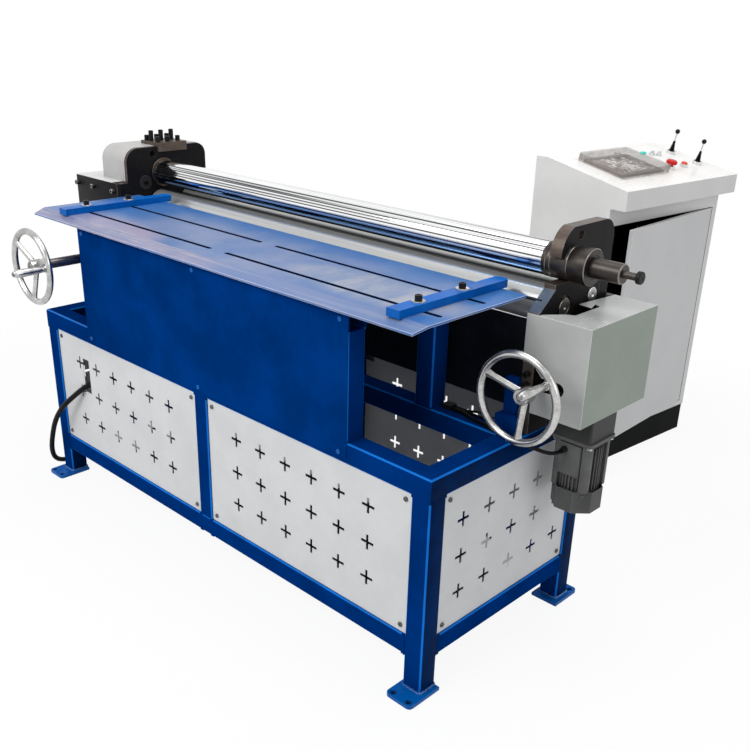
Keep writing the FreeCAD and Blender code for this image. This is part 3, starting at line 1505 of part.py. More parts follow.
# The unseen length of the mains cable: loops stacked on the floor, then a tail down to the plug
def mains_coil():
    climb = 2 * mains_r + coil_gap
    cx, cy = coil_centre
    r = coil_radius
    slope = climb / (2 * math.pi * r)

    def spot(turn):
        a = 2 * math.pi * turn - math.pi / 2
        return Vector(cx + r * math.cos(a), cy + r * math.sin(a), coil_start_z + climb * turn)

    def heading(turn):
        a = 2 * math.pi * turn
        return Vector(math.cos(a), math.sin(a), slope).normalize()

    level = Vector(1, 0, 0)
    start = Vector(cx - 2 * mains_r, cy - r, coil_start_z)
    first_quarter = 0.25
    edges = [Part.LineSegment(start, spot(0)).toShape()]
    edges += biarc(spot(0), level, spot(first_quarter), heading(first_quarter))
    for k in range(1, 4 * coil_loops - 1):
        edges += biarc(spot(k / 4), heading(k / 4), spot((k + 1) / 4), heading((k + 1) / 4))
    last = spot(coil_loops)
    edges += biarc(spot(coil_loops - 0.25), heading(coil_loops - 0.25), last, level)
    leave = last + Vector(tail_straight, 0, 0)
    edges.append(Part.LineSegment(last, leave).toShape())
    landing = Vector(leave.x + tail_drop_run, leave.y, plug_flange_r + 0.3)
    edges += biarc(leave, level, landing, level)
    end = landing + Vector(2 * mains_r, 0, 0)
    edges.append(Part.LineSegment(landing, end).toShape())
    wire = Part.Wire(edges)
    print("coil least gap", round(least_gap(wire, mains_r), 2))
    return tube_on("mains coil", wire, mains_r), end


# Smallest distance between stretches of a tube that are more than a quarter loop apart
def least_gap(wire, r):
    count = 600
    points = wire.discretize(count)
    step = wire.Length / (count - 1)
    apart = int(coil_radius * math.pi / 2 / step)
    least = 1e9
    for i in range(count):
        for j in range(i + apart, count):
            least = min(least, (points[i] - points[j]).Length)
    return least - 2 * r


def mains_plug(start):
    x, y, z = start.x, start.y, start.z
    grip_end = x + plug_grip_length
    body_end = grip_end + plug_body_length
    flange_end = body_end + plug_flange_length
    sleeve_end = flange_end + plug_sleeve_length
    grip = Part.makeCone(mains_r + 3, plug_r - 4, plug_grip_length, Vector(x, y, z), Vector(1, 0, 0))
    body = rod_x(y, z, plug_r, grip_end, body_end)
    flange = rod_x(y, z, plug_flange_r, body_end, flange_end)
    sleeve = rod_x(y, z, plug_r, flange_end, sleeve_end).cut(rod_x(y, z, plug_r - 3, flange_end, sleeve_end))
    pins = []
    for k in range(plug_pins):
        a = 2 * math.pi * (k + 0.5) / plug_pins
        py = y + plug_pin_circle * math.cos(a)
        pz = z + plug_pin_circle * math.sin(a)
        pins.append(rod_x(py, pz, plug_pin_r, flange_end - 1, sleeve_end - 4))
    return joined([grip, body, flange, sleeve] + pins)


# The console is drawn with its width along X, its door on Y = 0 and its depth along +Y
console_frame = Placement(Vector(console_x, console_y, 0), Rotation(Vector(0, 0, 1), console_turn))
desk_slope = math.degrees(math.atan2(desk_back_top - desk_front_top, desk_crease + desk_overhang))
desk_frame = console_frame.multiply(
    Placement(Vector(0, -desk_overhang, desk_front_top), Rotation(Vector(1, 0, 0), desk_slope)))


def in_console(shape):
    moved = shape.copy()
    moved.Placement = console_frame.multiply(shape.Placement)
    return moved


# Controls are drawn on a level desk with its front edge on Y = 0 and its face on Z = 0
def on_desk(shape):
    moved = shape.copy()
    moved.Placement = desk_frame.multiply(shape.Placement)
    return moved


def console_section(shrink):
    s = shrink
    rise = (desk_back_top - desk_front_top) / (desk_crease + desk_overhang)
    drop = s / math.cos(math.radians(desk_slope))
    front_top = desk_front_top + s * rise - drop
    crease = desk_back_top - drop
    level = desk_back_top - s
    crease_v = desk_crease - (level - crease) / rise if s else desk_crease
    top_v = desk_crease + (level - crease) / rise if s else desk_crease
    points = [(s, plinth_height + s), (s, desk_under + s), (-desk_overhang + s, desk_under + s),
              (-desk_overhang + s, front_top), (top_v, level), (console_depth - s, level),
              (console_depth - s, plinth_height + s)]
    return points


def console_body():
    s = console_sheet
    outer = plate_yz(console_section(0), 0, console_width)
    inner = plate_yz(console_section(s), s, console_width - s)
    shell = outer.cut(inner)
    u0 = door_left - door_gap
    u1 = door_right + door_hinge_r + 1
    z0 = door_bottom - door_gap
    z1 = door_top + door_gap
    shell = shell.cut(box(u0, u1, -1, s + 1, z0, z1))
    hinge_v = door_hinge_r
    u_pin = door_right
    low = box(u_pin - 6, console_width - s, s, 2 * door_hinge_r, z0 - 10, z0)
    high = box(u_pin - 6, console_width - s, s, 2 * door_hinge_r, z1, z1 + 10)
    pin = rod_z(u_pin, hinge_v, door_pin_r, z0 - 1, z1 + 1)
    return in_console(joined([shell, low, high, pin]))


def console_plinth():
    i = plinth_inset
    t = 2 * console_sheet
    outer = box(i, console_width - i, i, console_depth - i, 0, plinth_height)
    inner = box(i + t, console_width - i - t, i + t, console_depth - i - t, -1, plinth_height + 1)
    return in_console(outer.cut(inner))


# Door sheet with folded edges and a curled hinge, drawn closed and then set ajar
def console_door():
    s = console_sheet
    r = door_hinge_r
    sheet = box(door_left, door_right, 0, s, door_bottom, door_top)
    fold_end = door_right - 2 * r - door_edge / 2
    side = box(door_left, door_left + s, 0, door_edge, door_bottom, door_top)
    low = box(door_left, fold_end, 0, door_edge, door_bottom, door_bottom + s)
    high = box(door_left, fold_end, 0, door_edge, door_top - s, door_top)
    curl = rod_z(door_right, r, r, door_bottom, door_top)
    bore = rod_z(door_right, r, door_pin_r + door_pin_gap, door_bottom - 1, door_top + 1)
    door = joined([sheet, side, low, high, curl]).cut(bore)
    door.rotate(Vector(door_right, r, 0), Vector(0, 0, 1), door_ajar)
    return in_console(door)


def touch_panel():
    frame = box(screen_u, screen_u + screen_length, screen_w, screen_w + screen_depth, 0, screen_height)
    m = 18.0
    recess = box(screen_u + m, screen_u + screen_length - m, screen_w + m, screen_w + screen_depth - m,
                 screen_height - 1.5, screen_height + 1)
    return on_desk(frame.cut(recess))


# Clear lid over the touch panel; its two hinge pins sit in ears that stand on the desk
def clear_lid():
    g = lid_gap
    t = lid_wall
    u1 = lid_u + lid_length
    w1 = lid_w + lid_depth
    outer = box(lid_u, u1, lid_w, w1, g, lid_height)
    upright = [e for e in outer.Edges if abs(e.BoundBox.ZLength - (lid_height - g)) < 0.01]
    outer = outer.makeFillet(8.0, upright)
    inner = box(lid_u + t, u1 - t, lid_w + t, w1 - t, g - 1, lid_height - t)
    lid = outer.cut(inner)
    y = w1 + lid_pin_back
    z = lid_pin_up
    pieces = [lid]
    for u in (lid_u + 40, u1 - 40):
        pieces.append(box(u - lid_ear, u + lid_ear, w1 - 1, y, z - lid_pin_r, z + lid_pin_r))
        pieces.append(rod_x(y, z, lid_pin_r, u - lid_ear - 6, u + lid_ear + 6))
    return on_desk(joined(pieces))


def lid_ears():
    w1 = lid_w + lid_depth
    y = w1 + lid_pin_back
    z = lid_pin_up
    r = lid_ear_r
    ears = []
    for u in (lid_u + 40, lid_u + lid_length - 40):
        for x0 in (u - lid_ear - 6, u + lid_ear + 1):
            ear = joined([box(x0, x0 + 5, y - r, y + r, 0, z), rod_x(y, z, r, x0, x0 + 5)])
            ears.append(ear.cut(rod_x(y, z, lid_pin_r + running_fit, x0 - 1, x0 + 6)))
    return ears


def bezel(place, r, bore, h):
    u, w = place
    return ring(rod_z(u, w, r, 0, h), rod_z(u, w, bore, -1, h + 1))


# Fixed rings that the controls move in, on the desk's face
def control_bezels():
    g = button_gap
    rings = [bezel(stop_place, bezel_r + 2, stop_stem_r + g, bezel_h),
             bezel(push_place, bezel_r, push_r + g, bezel_h),
             bezel(selector_left_place, bezel_r - 3, selector_knob_r + g, bezel_h / 2),
             bezel(selector_right_place, bezel_r - 3, selector_knob_r + g, bezel_h / 2),
             bezel(joystick_left_place, stick_ring_r, stick_ring_bore, stick_ring_h),
             bezel(joystick_right_place, stick_ring_r, stick_ring_bore, stick_ring_h)]
    return [on_desk(piece) for piece in rings + lid_ears()]


def indicator_lamp():
    u, w = indicator_place
    a, b, h = indicator_size
    return on_desk(box(u - a / 2, u + a / 2, w - b / 2, w + b / 2, 0, h))


def selector(place):
    u, w = place
    knob = rod_z(u, w, selector_knob_r, button_gap, bezel_h)
    grip = box(u - selector_knob_r, u + selector_knob_r, w - 2.5, w + 2.5, bezel_h, selector_knob_h)
    inside = rod_z(u, w, selector_knob_r, bezel_h, selector_knob_h)
    return on_desk(joined([knob, grip.common(inside)]))


def stop_button():
    u, w = stop_place
    stem = rod_z(u, w, stop_stem_r, stop_travel + button_gap, bezel_h + stop_travel + 2)
    low = bezel_h + stop_travel + 2
    cap = rod_z(u, w, stop_cap_r, low, low + stop_cap_h)
    top = [e for e in cap.Edges if e.Closed and e.BoundBox.ZMin > low + 1]
    cap = cap.makeFillet(5.0, top)
    return on_desk(joined([stem, cap]))


def push_button():
    u, w = push_place
    low = push_travel + button_gap
    return on_desk(rod_z(u, w, push_r, low, bezel_h + push_height))


# Lever with its ball in the ring, a tapering boot, a thin rod and a round knob
def joystick(place):
    u, w = place
    pivot = stick_ball_r + button_gap
    ball = Part.makeSphere(stick_ball_r, Vector(u, w, pivot))
    boot_low = pivot + 3
    boot = Part.makeCone(stick_boot_r, stick_rod_r + 1.5, stick_boot_height,
                         Vector(u, w, boot_low), Vector(0, 0, 1))
    rod = rod_z(u, w, stick_rod_r, boot_low, pivot + stick_length)
    knob = Part.makeSphere(stick_knob_r, Vector(u, w, pivot + stick_length))
    return on_desk(joined([ball, boot, rod, knob]))


def main():
    os.makedirs("parts", exist_ok=True)
    save("base_rails", base_rails())
    save("base_posts", base_posts())
    save("foot_plates", foot_plates())
    save("front_panels", [panel("front_left"), panel("front_right")])
    save("side_panels", [panel("left"), panel("right")])
    save("back_panels", [panel("back_left"), panel("back_right")])
    save("panel_fixings", panel_fixings())
    save("front_cover", front_cover())
    save("table_uprights", table_uprights())
    save("feed_table", feed_table())
    save("guide_bar_left", guide_bar(bar_left_x))
    save("guide_bar_right", guide_bar(bar_right_x))
    save("guide_clamps_left", guide_clamps(bar_left_x))
    save("guide_clamps_right", guide_clamps(bar_right_x))
    save("side_plate_left", side_plate_left())
    save("side_plate_right", side_plate_right())
    save("cross_members", cross_members())
    save("gear_plates", gear_plates())
    save("gear_cover", gear_cover())
    save("clamp_plate", clamp_plate())
    save("cap_screws", cap_screws())
    save("roll_bushes", roll_bushes())
    save("front_roll", front_roll())
    save("top_roll", top_roll())
    save("rear_roll", rear_roll())
    gear_set = gears()
    save("front_roll_gear", gear_set["front_roll_gear"])
    save("top_roll_gear", gear_set["top_roll_gear"])
    save("idler_gear", gear_set["idler_gear"])
    save("drive_shaft", drive_shaft(gear_set["drive_pinion"]))
    save("release_sleeve", release_sleeve())
    save("rear_roll_blocks", rear_roll_blocks())
    save("lift_housings", lift_housings())
    save("handwheel_right", wheel_right())
    save("handwheel_left", wheel_left())
    save("crank_handle_right", crank_handle(right_wheel_x, right_wheel_y, right_wheel_z, right_wheel_angle))
    save("crank_handle_left", crank_handle(left_wheel_x, left_wheel_y, left_wheel_z, left_crank_angle))
    save("cross_shaft", cross_shaft())
    save("right_cover", right_cover())
    save("gearbox", gearbox())
    save("motor_body", motor_body())
    save("fan_cover", fan_cover())
    save("motor_fan", motor_fan())
    save("wiring_fittings", wiring_fittings())
    save("frame_cables", frame_cables())
    save("mains_cable", cable("mains cable", mains_route, mains_r))
    coil, coil_end = mains_coil()
    save("mains_coil", coil)
    save("mains_plug", mains_plug(coil_end))
    save("console_body", console_body())
    save("console_plinth", console_plinth())
    save("console_door", console_door())
    save("touch_panel", touch_panel())
    save("clear_lid", clear_lid())
    save("control_bezels", control_bezels())
    save("indicator_lamp", indicator_lamp())
    save("selector_left", selector(selector_left_place))
    save("selector_right", selector(selector_right_place))
    save("stop_button", stop_button())
    save("push_button", push_button())
    save("joystick_left", joystick(joystick_left_place))
    save("joystick_right", joystick(joystick_right_place))


main()
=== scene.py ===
# %% [markdown]
# An oval duct rolling machine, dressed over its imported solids. The real machine is a painted stand
# of square tube that carries two thick side plates, three rolls, a feed table, a gear case, a geared
# motor and a console beside it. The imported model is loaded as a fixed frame, and every piece below
# is drawn in the same places, so nothing has to be fitted by eye.

import json
import math

import bmesh
import bpy
from mathutils import Matrix, Vector

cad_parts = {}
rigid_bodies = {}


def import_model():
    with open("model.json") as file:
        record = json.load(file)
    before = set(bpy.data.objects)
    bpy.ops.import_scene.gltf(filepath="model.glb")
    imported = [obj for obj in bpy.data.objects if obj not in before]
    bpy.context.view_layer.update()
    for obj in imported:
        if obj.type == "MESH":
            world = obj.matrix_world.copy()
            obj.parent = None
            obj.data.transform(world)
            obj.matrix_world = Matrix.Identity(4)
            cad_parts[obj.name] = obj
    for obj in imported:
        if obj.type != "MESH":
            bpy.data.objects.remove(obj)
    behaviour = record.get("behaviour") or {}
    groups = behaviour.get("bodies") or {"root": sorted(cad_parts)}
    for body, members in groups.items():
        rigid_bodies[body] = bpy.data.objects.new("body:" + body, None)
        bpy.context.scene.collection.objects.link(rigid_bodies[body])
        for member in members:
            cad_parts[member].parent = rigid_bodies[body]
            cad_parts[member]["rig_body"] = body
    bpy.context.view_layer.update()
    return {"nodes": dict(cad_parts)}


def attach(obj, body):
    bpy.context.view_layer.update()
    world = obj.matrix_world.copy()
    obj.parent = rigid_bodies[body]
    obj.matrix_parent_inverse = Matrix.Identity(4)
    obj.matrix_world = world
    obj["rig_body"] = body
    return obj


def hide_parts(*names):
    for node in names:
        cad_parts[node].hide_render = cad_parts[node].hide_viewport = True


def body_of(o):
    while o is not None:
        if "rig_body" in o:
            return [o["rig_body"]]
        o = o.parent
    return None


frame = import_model()
nodes = frame["nodes"]

# %% [markdown]
# The machine's drawings use millimetres from the stand's left end, its front face and the floor,
# and Blender uses metres from the model's own origin. One small function turns one into the other,
# so that sizes below read like the drawings. The camera stands where the photograph was taken from.

# %% Places in millimetres, and the camera
origin_x, origin_y = 887.0, 322.5
X, Y, Z = Vector((1, 0, 0)), Vector((0, 1, 0)), Vector((0, 0, 1))
camera_place = (2.0813, -1.7853, 1.6026)
camera_heading, camera_dip, camera_tilt = 43.89, 24.03, 1.42
lean, roll_gap = math.radians(8.9), 110.3
front_roll, rear_roll = (478.0, 938.0), (600, 948)
top_roll = (front_roll[0] + roll_gap * math.sin(lean), front_roll[1] + roll_gap * math.cos(lean))


def mm(x, y, z):
    return Vector(((x - origin_x) / 1000, (y - origin_y) / 1000, z / 1000))


def drawing(p):
    return p.x * 1000 + origin_x, p.y * 1000 + origin_y, p.z * 1000


def turn(degrees, axis):
    return Matrix.Rotation(math.radians(degrees), 4, axis)


def added(name, data):
    made = bpy.data.objects.new(name, data)
    bpy.context.collection.objects.link(made)
    return made


camera = added("camera", bpy.data.cameras.new("camera"))
camera.matrix_world = (Matrix.Translation(camera_place) @ turn(camera_heading, "Z")
                       @ turn(90 - camera_dip, "X") @ turn(camera_tilt, "Z"))
camera.data.sensor_width, camera.data.lens = 36.0, 44.594
camera.data.shift_x, camera.data.shift_y = 0.0122, 0.0645
bpy.context.scene.camera = camera
bpy.context.scene.view_settings.view_transform = "Standard"
print("camera at", [round(v, 3) for v in camera.location])

# %% [markdown]
# A finish on this machine is paint, machined steel, cast metal or plastic. Each one is a small net
# of nodes, and long nets are hard to read when every link is written out. Here one class wraps a
# socket, so that ordinary signs add Math nodes, and one method adds any other node. Colours go
# through Mix nodes, because a Math node would turn them grey. Every finish is kept under its name.


# %% Shader helpers
class Value:
    def __init__(self, net, socket):
        self.net = net
        self.socket = socket

    def math(self, operation, other=None):
        return self.net.node("ShaderNodeMath", [self, other], operation=operation)

    def __add__(self, other):
        return self.math("ADD", other)

    def __mul__(self, other):
        return self.math("MULTIPLY", other)

    def __sub__(self, other):
        return self.math("SUBTRACT", other)

    def __rsub__(self, other):
        return self.net.node("ShaderNodeMath", [other, self], operation="SUBTRACT")

    def __truediv__(self, other):
        return self.math("DIVIDE", other)

    def __pow__(self, other):
        return self.math("POWER", other)

    def between(self, low, high):
        return self.net.node("ShaderNodeMapRange", [self, low, high, 0.0, 1.0],
                             interpolation_type="SMOOTHSTEP")

    def near(self, middle, outer, inner):
        return (self - middle).math("ABSOLUTE").between(outer, inner)

    def also(self, output):
        return Value(self.net, self.socket.node.outputs[output])


class Net:
    def __init__(self, tree):
        self.tree = tree

    def node(self, kind, values=(), out=0, **settings):
        made = self.tree.nodes.new(kind)
        for name, setting in settings.items():
            setattr(made, name, setting)
        for key, value in values.items() if isinstance(values, dict) else enumerate(values):
            self.join(made.inputs[key], value)
        return Value(self, made.outputs[out])

    def join(self, socket, value):
        if isinstance(value, Value):
            self.tree.links.new(value.socket, socket)
        elif value is not None:
            socket.default_value = value

    def end(self, kind, value):
        self.join(self.tree.nodes.new(kind).inputs[0], value)


def rgba(colour):
    return (*colour, 1.0)


class Finish(Net):
    def __init__(self, name, colour, rough, metallic=0.0, gloss=0.5):
        self.material = bpy.data.materials.new(name)
        finishes[name] = self.material
        self.material.use_nodes = True
        super().__init__(self.material.node_tree)
        self.shader = self.tree.nodes["Principled BSDF"]
        self.put("Base Color", rgba(colour))
        self.put("Roughness", rough)
        self.put("Metallic", metallic)
        self.put("Specular IOR Level", gloss)
        self.place = self.node("ShaderNodeTexCoord", out="Object")

    def put(self, name, value):
        self.join(self.shader.inputs[name], value)

    def axes(self):
        x = self.node("ShaderNodeSeparateXYZ", [self.place])
        return x, x.also(1), x.also(2)

    def noise(self, per_metre, stretch=None, detail=3.0, rough=0.5):
        where = self.place
        if stretch:
            where = self.node("ShaderNodeVectorMath", [where, stretch], operation="MULTIPLY")
        return self.node("ShaderNodeTexNoise", {"Vector": where, "Scale": per_metre,
                                                "Detail": detail, "Roughness": rough})

    def mix(self, share, first, second):
        first, second = (rgba(c) if isinstance(c, tuple) else c for c in (first, second))
        return self.node("ShaderNodeMix", {0: share, 6: first, 7: second}, 2, data_type="RGBA")

    def relief(self, height, depth):
        self.put("Normal", self.node("ShaderNodeBump", {"Strength": 1.0, "Distance": depth,
                                                        "Height": height}))


def looks(names):
    return [finishes[name] for name in names.split()]


finishes = {}
print("shader helpers ready")

# %% [markdown]
# Paint is the machine's main finish. Sprayed enamel is never quite even: it has a fine orange peel,
# patches that are a little deeper or duller, and a film of dust and hand marks on what lies level.
# One function makes the whole family from a colour, and adds those three things at their real sizes,
# a few millimetres for the peel and some centimetres for the patches. Some of the family are copies
# of one paint made lighter for faces that get more light, darker for faces that get less, or lighter
# for rounded edges: these are painted light, painted shade and painted highlights.


# %% Paint finishes
def paint(name, colour, rough, gloss, patch=0.10, peel=0.00003, dust=None, dust_share=0.3,
          scuff=None):
    f = Finish(name, colour, rough, gloss=gloss)
    patches = f.noise(7.0, detail=5.0, rough=0.6)
    shade = tuple(c * (1 - patch * 2) for c in colour)
    light = tuple(min(1.0, c * (1 + patch)) for c in colour)
    tint = f.mix(patches.between(0.3, 0.7), shade, light)
    dull = patches.between(0.35, 0.75)
    if dust:
        film = f.noise(16.0, detail=8.0, rough=0.7).between(0.5, 0.85)
        tint = f.mix(film * dust_share, tint, dust)
        dull = dull + film
    if scuff:
        marks = f.noise(55.0, (1.0, 1.0, 0.35), 9.0, 0.75).between(0.66, 0.72)
        tint = f.mix(marks * 0.6, tint, scuff)
    f.put("Base Color", tint)
    f.put("Roughness", dull * 0.12 + (rough - 0.05))
    f.relief(f.noise(420.0, detail=2.0), peel)


paint("stand_blue", (0.0, 0.028, 0.163), 0.45, 0.0, dust=(0.004, 0.06, 0.24), dust_share=0.15)
# painted shade: a darker copy of the stand blue for the faces towards the right end
paint("stand_side", (0.0, 0.015, 0.074), 0.42, 0.01, 0.25)
# painted highlight: a light blue for the rounded corners and edges of blue parts
paint("stand_edge", (0.0, 0.150, 0.60), 0.36, 0.10)
paint("cover_blue", (0.0, 0.031, 0.173), 0.48, 0.0, 0.12, 0.00002)
paint("foot_blue", (0.0, 0.105, 0.41), 0.36, 0.12, dust=(0.04, 0.20, 0.50))
paint("white_panel", (0.60, 0.60, 0.597), 0.45, 0.2, 0.03, scuff=(0.40, 0.39, 0.37))
paint("cover_grey", (0.44, 0.445, 0.43), 0.42, 0.15, 0.04)
# right cover grey in copies: painted shade on its +X side, painted light on its top, painted
# highlight on edges
paint("cover_side", (0.285, 0.322, 0.282), 0.42, 0.10, 0.03)
paint("cover_top", (0.46, 0.465, 0.455), 0.30, 0.4, 0.06)
paint("cover_edge", (0.78, 0.79, 0.78), 0.35, 0.3, 0.04)
paint("deck_paint", (0.66, 0.655, 0.645), 0.38, 0.3, 0.04, scuff=(0.35, 0.35, 0.35))
paint("hood_paint", (0.44, 0.43, 0.42), 0.36, 0.25, 0.05)
paint("console_white", (0.82, 0.808, 0.785), 0.34, 0.3, 0.02, 0.00002)
# console paint in copies: painted light on the desk, painted shade on the front and door, painted
# highlight on edges
paint("desk_white", (0.89, 0.872, 0.842), 0.30, 0.4, 0.02, 0.00002)
paint("console_front", (0.655, 0.645, 0.632), 0.36, 0.25, 0.02, 0.00002)
paint("console_edge", (0.86, 0.85, 0.83), 0.34, 0.3, 0.02, 0.00002)
paint("door_white", (0.56, 0.555, 0.55), 0.36, 0.25, 0.02, 0.00002)
paint("shade_dark", (0.004, 0.006, 0.008), 0.60, 0.05)
paint("plinth_black", (0.004, 0.0045, 0.0045), 0.55, 0.03)
paint("motor_grey", (0.080, 0.080, 0.078), 0.45, 0.12, 0.15, dust=(0.14, 0.14, 0.13),
      dust_share=0.25)
# painted light: a lighter copy of the motor grey for the motor body, which stands in shade
paint("motor_frame", (0.115, 0.115, 0.112), 0.45, 0.12, 0.15, dust=(0.18, 0.18, 0.17),
      dust_share=0.25)
# painted highlight: a lighter grey for the rounded edges of the motor and the gearbox
paint("motor_edge", (0.17, 0.17, 0.165), 0.38, 0.4)
paint("gearbox_grey", (0.050, 0.050, 0.049), 0.45, 0.10, dust=(0.10, 0.10, 0.095))
paint("bed_dark", (0.006, 0.009, 0.015), 0.42, 0.15, 0.3, dust=(0.020, 0.022, 0.030))
print("paints", len(finishes))

# %% [markdown]
# The feed table is the face that the sheet slides over, so its paint is the most worn. Its top is a
# paler blue than the stand's paint, and this is partly a painted sheen of the light on the glossy
# top.
# It is a deeper blue at the right end, along the rear and in a patch at the left. There is a pale
# grey patch and a rosy one where hands and sheets go in, which are wear and painted sheen together.
# Over that lie pale streaks along the way the sheet moves, fine scratches across it and dark dots.
# Each is a noise of its own size and stretch, kept in its place by the distance from a point of the
# table. The lip in front is worn the same way, and its pale colour is partly painted sheen too.


# %% Table finish
def worn_table():
    f = Finish("worn_table", (0.10, 0.20, 0.42), 0.30, gloss=0.22)
    clouds = f.noise(3.2, detail=5.0, rough=0.6)
    streaks = f.noise(6.0, (1.0, 0.45, 1.0), 6.0, 0.62)
    along = f.noise(60.0, (0.03, 1.0, 1.0), 7.0, 0.7)
    fine = f.noise(150.0, (0.06, 1.0, 1.0), 8.0, 0.8).between(0.60, 0.66)
    dots = f.noise(130.0, detail=4.0, rough=0.6).between(0.70, 0.74)
    x, y, _ = f.axes()
    deep_blue_left = x.near(-0.60, 0.22, 0.05) * 0.8 * y.between(-0.22, -0.14)
    deep_blue = x.between(0.72, 0.80).math("MAXIMUM", deep_blue_left)
    deep_blue = deep_blue.math("MAXIMUM", y.between(-0.06, 0.05) * 0.75)
    # two pale patches, wear and painted sheen together
    rubbed_and_sheen = (((x - 0.56) / 0.34) ** 2.0 + ((y + 0.175) / 0.125) ** 2.0).between(1.0, 0.15)
    rosy_wear_and_sheen = (((x + 0.46) / 0.30) ** 2.0 + ((y + 0.30) / 0.11) ** 2.0).between(1.0, 0.25)
    # the pale blue base is partly painted sheen
    tint = f.mix(clouds.between(0.38, 0.62), (0.050, 0.140, 0.355), (0.145, 0.205, 0.380))
    for share, colour in (
            (streaks.between(0.52, 0.70) * 0.35, (0.25, 0.27, 0.38)),
            (deep_blue * (clouds * 0.8 + 0.45), (0.008, 0.120, 0.375)),
            (rosy_wear_and_sheen * (streaks.between(0.36, 0.56) * 0.4 + 0.55), (0.300, 0.262, 0.385)),
            (rubbed_and_sheen * (streaks.between(0.40, 0.60) * 0.6 + 0.35), (0.345, 0.355, 0.405)),
            (along.between(0.55, 0.75) * 0.18, (0.32, 0.35, 0.48)),
            (fine * 0.30, (0.48, 0.50, 0.60)),
            (dots * 0.5, (0.16, 0.10, 0.12))):
        tint = f.mix(share, tint, colour)
    f.put("Base Color", tint)
    f.put("Roughness", clouds * 0.22 + along * 0.12 + 0.18)
    f.relief(along + fine * 0.6, 0.00003)


def worn_lip():
    f = Finish("worn_lip", (0.28, 0.29, 0.45), 0.34, gloss=0.2)
    clouds = f.noise(5.0, (0.5, 1.0, 1.0), 6.0, 0.65)
    along = f.noise(110.0, (0.02, 1.0, 1.0), 7.0, 0.7)
    x, _, _ = f.axes()
    # the lip's pale colour is partly wear and partly painted sheen
    tint = f.mix(clouds.between(0.35, 0.62), (0.18, 0.205, 0.345), (0.29, 0.275, 0.38))
    tint = f.mix(along.between(0.52, 0.60) * 0.6, tint, (0.52, 0.46, 0.50))
    tint = f.mix(along.between(0.45, 0.39) * 0.5, tint, (0.12, 0.14, 0.27))
    tint = f.mix(x.between(-0.05, 0.20) * 0.65, tint, (0.07, 0.17, 0.38))
    f.put("Base Color", tint)
    f.put("Roughness", along * 0.2 + 0.26)


worn_table()
worn_lip()
# painted highlights: lighter colours for the rounded edges of the table and the guide bars
paint("table_edge", (0.46, 0.47, 0.62), 0.34, 0.3, 0.12)
paint("bar_edge", (0.12, 0.27, 0.55), 0.34, 0.3, 0.12)
# painted shade: a near-black blue for the slot walls, where shade falls inside the slots
paint("slot_blue", (0.0, 0.006, 0.035), 0.55, 0.05)
paint("bar_blue", (0.0, 0.115, 0.46), 0.36, 0.08, dust=(0.06, 0.20, 0.50), dust_share=0.25)
print("table finish ready")

# %% [markdown]
# Bare metal is read by its tool marks. A turned collar is dark with fine rings. Cut plate is nearly
# black with oil and has light edges. Most of it is one function with a direction for the marks, the
# size of the marks, and how much oil or soot there is. The rolls have finishes of their own. The
# chromed one has long dark and bright streaks and dark lines, each line at its angle round the roll,
# all of them painted reflections. Low at the back it has a painted reflection of the blue table that
# ends in black painted shade. The plain rolls carry a dark band of painted shade between two angles,
# where the roll beside each one shades it.


# %% Metal finishes
def metal(name, colour, rough, marks=None, per_metre=160.0, depth=0.00003, soot=None,
          soot_share=0.5, metallic=1.0, spread=0.15, gloss=0.5):
    f = Finish(name, colour, rough, metallic, gloss)
    lines = f.noise(per_metre, marks, 7.0, 0.7)
    cloud = f.noise(14.0, detail=6.0, rough=0.65)
    tint = f.mix(lines.between(0.35, 0.65), tuple(c * 0.72 for c in colour), colour)
    if soot:
        tint = f.mix(cloud.between(0.42, 0.68) * soot_share, tint, soot)
    f.put("Base Color", tint)
    f.put("Roughness", lines * spread + cloud * 0.12 + (rough - spread / 2 - 0.05))
    f.relief(lines, depth)


def round_angle(f, axis):
    _, y, z = f.axes()
    return (axis.y - y).math("ARCTAN2", z - axis.z) * (180 / math.pi)


def chrome_roll():
    bright, dark, rough = (0.97, 0.975, 0.98), (0.03, 0.032, 0.038), 0.13
    painted_reflection_lines = [(-14, 12), (39, 5.0), (57, 4.2), (67.5, 2.6), (78.5, 3.4), (94.5, 3.8)]
    f = Finish("chrome_roll", bright, rough, metallic=1.0)
    angle = round_angle(f, mm(0, *top_roll))
    bands = f.noise(125.0, (0.0015, 1.0, 1.0), 3.0, 0.6)
    thin = f.noise(330.0, (0.0012, 1.0, 1.0), 3.0, 0.6)
    rings = f.noise(380.0, (1.0, 0.06, 0.06), 4.0, 0.7)
    worn = f.noise(5.0, (0.4, 1.0, 1.0), 5.0).between(0.46, 0.62)
    # dark and bright streaks along the roll: painted reflections
    tint = f.mix(bands.between(0.36, 0.41), dark, bright)
    tint = f.mix(thin.between(0.58, 0.62) * 0.6, tint, (0.05, 0.05, 0.055))
    # dark lines at fixed angles round the roll: painted reflections
    for at, half in painted_reflection_lines:
        tint = f.mix(angle.near(at, half, half * 0.4) * (thin * 0.5 + 0.68), tint, dark)
    tint = f.mix(rings.between(0.52, 0.70) * worn * 0.55, tint, (0.20, 0.20, 0.22))
    # low on the roll a painted reflection of the blue table, and below it black painted shade
    tint = f.mix(angle.between(106, 113) * 0.92, tint, (0.12, 0.31, 0.68))
    tint = f.mix(angle.between(126, 137), tint, (0.004, 0.006, 0.014))
    f.put("Base Color", tint)
    f.put("Roughness", bands * 0.12 + worn * rings * 0.14 + (rough - 0.08))
    f.relief(bands * 1.5 + thin * 0.5 + rings * 0.3, 0.00005)


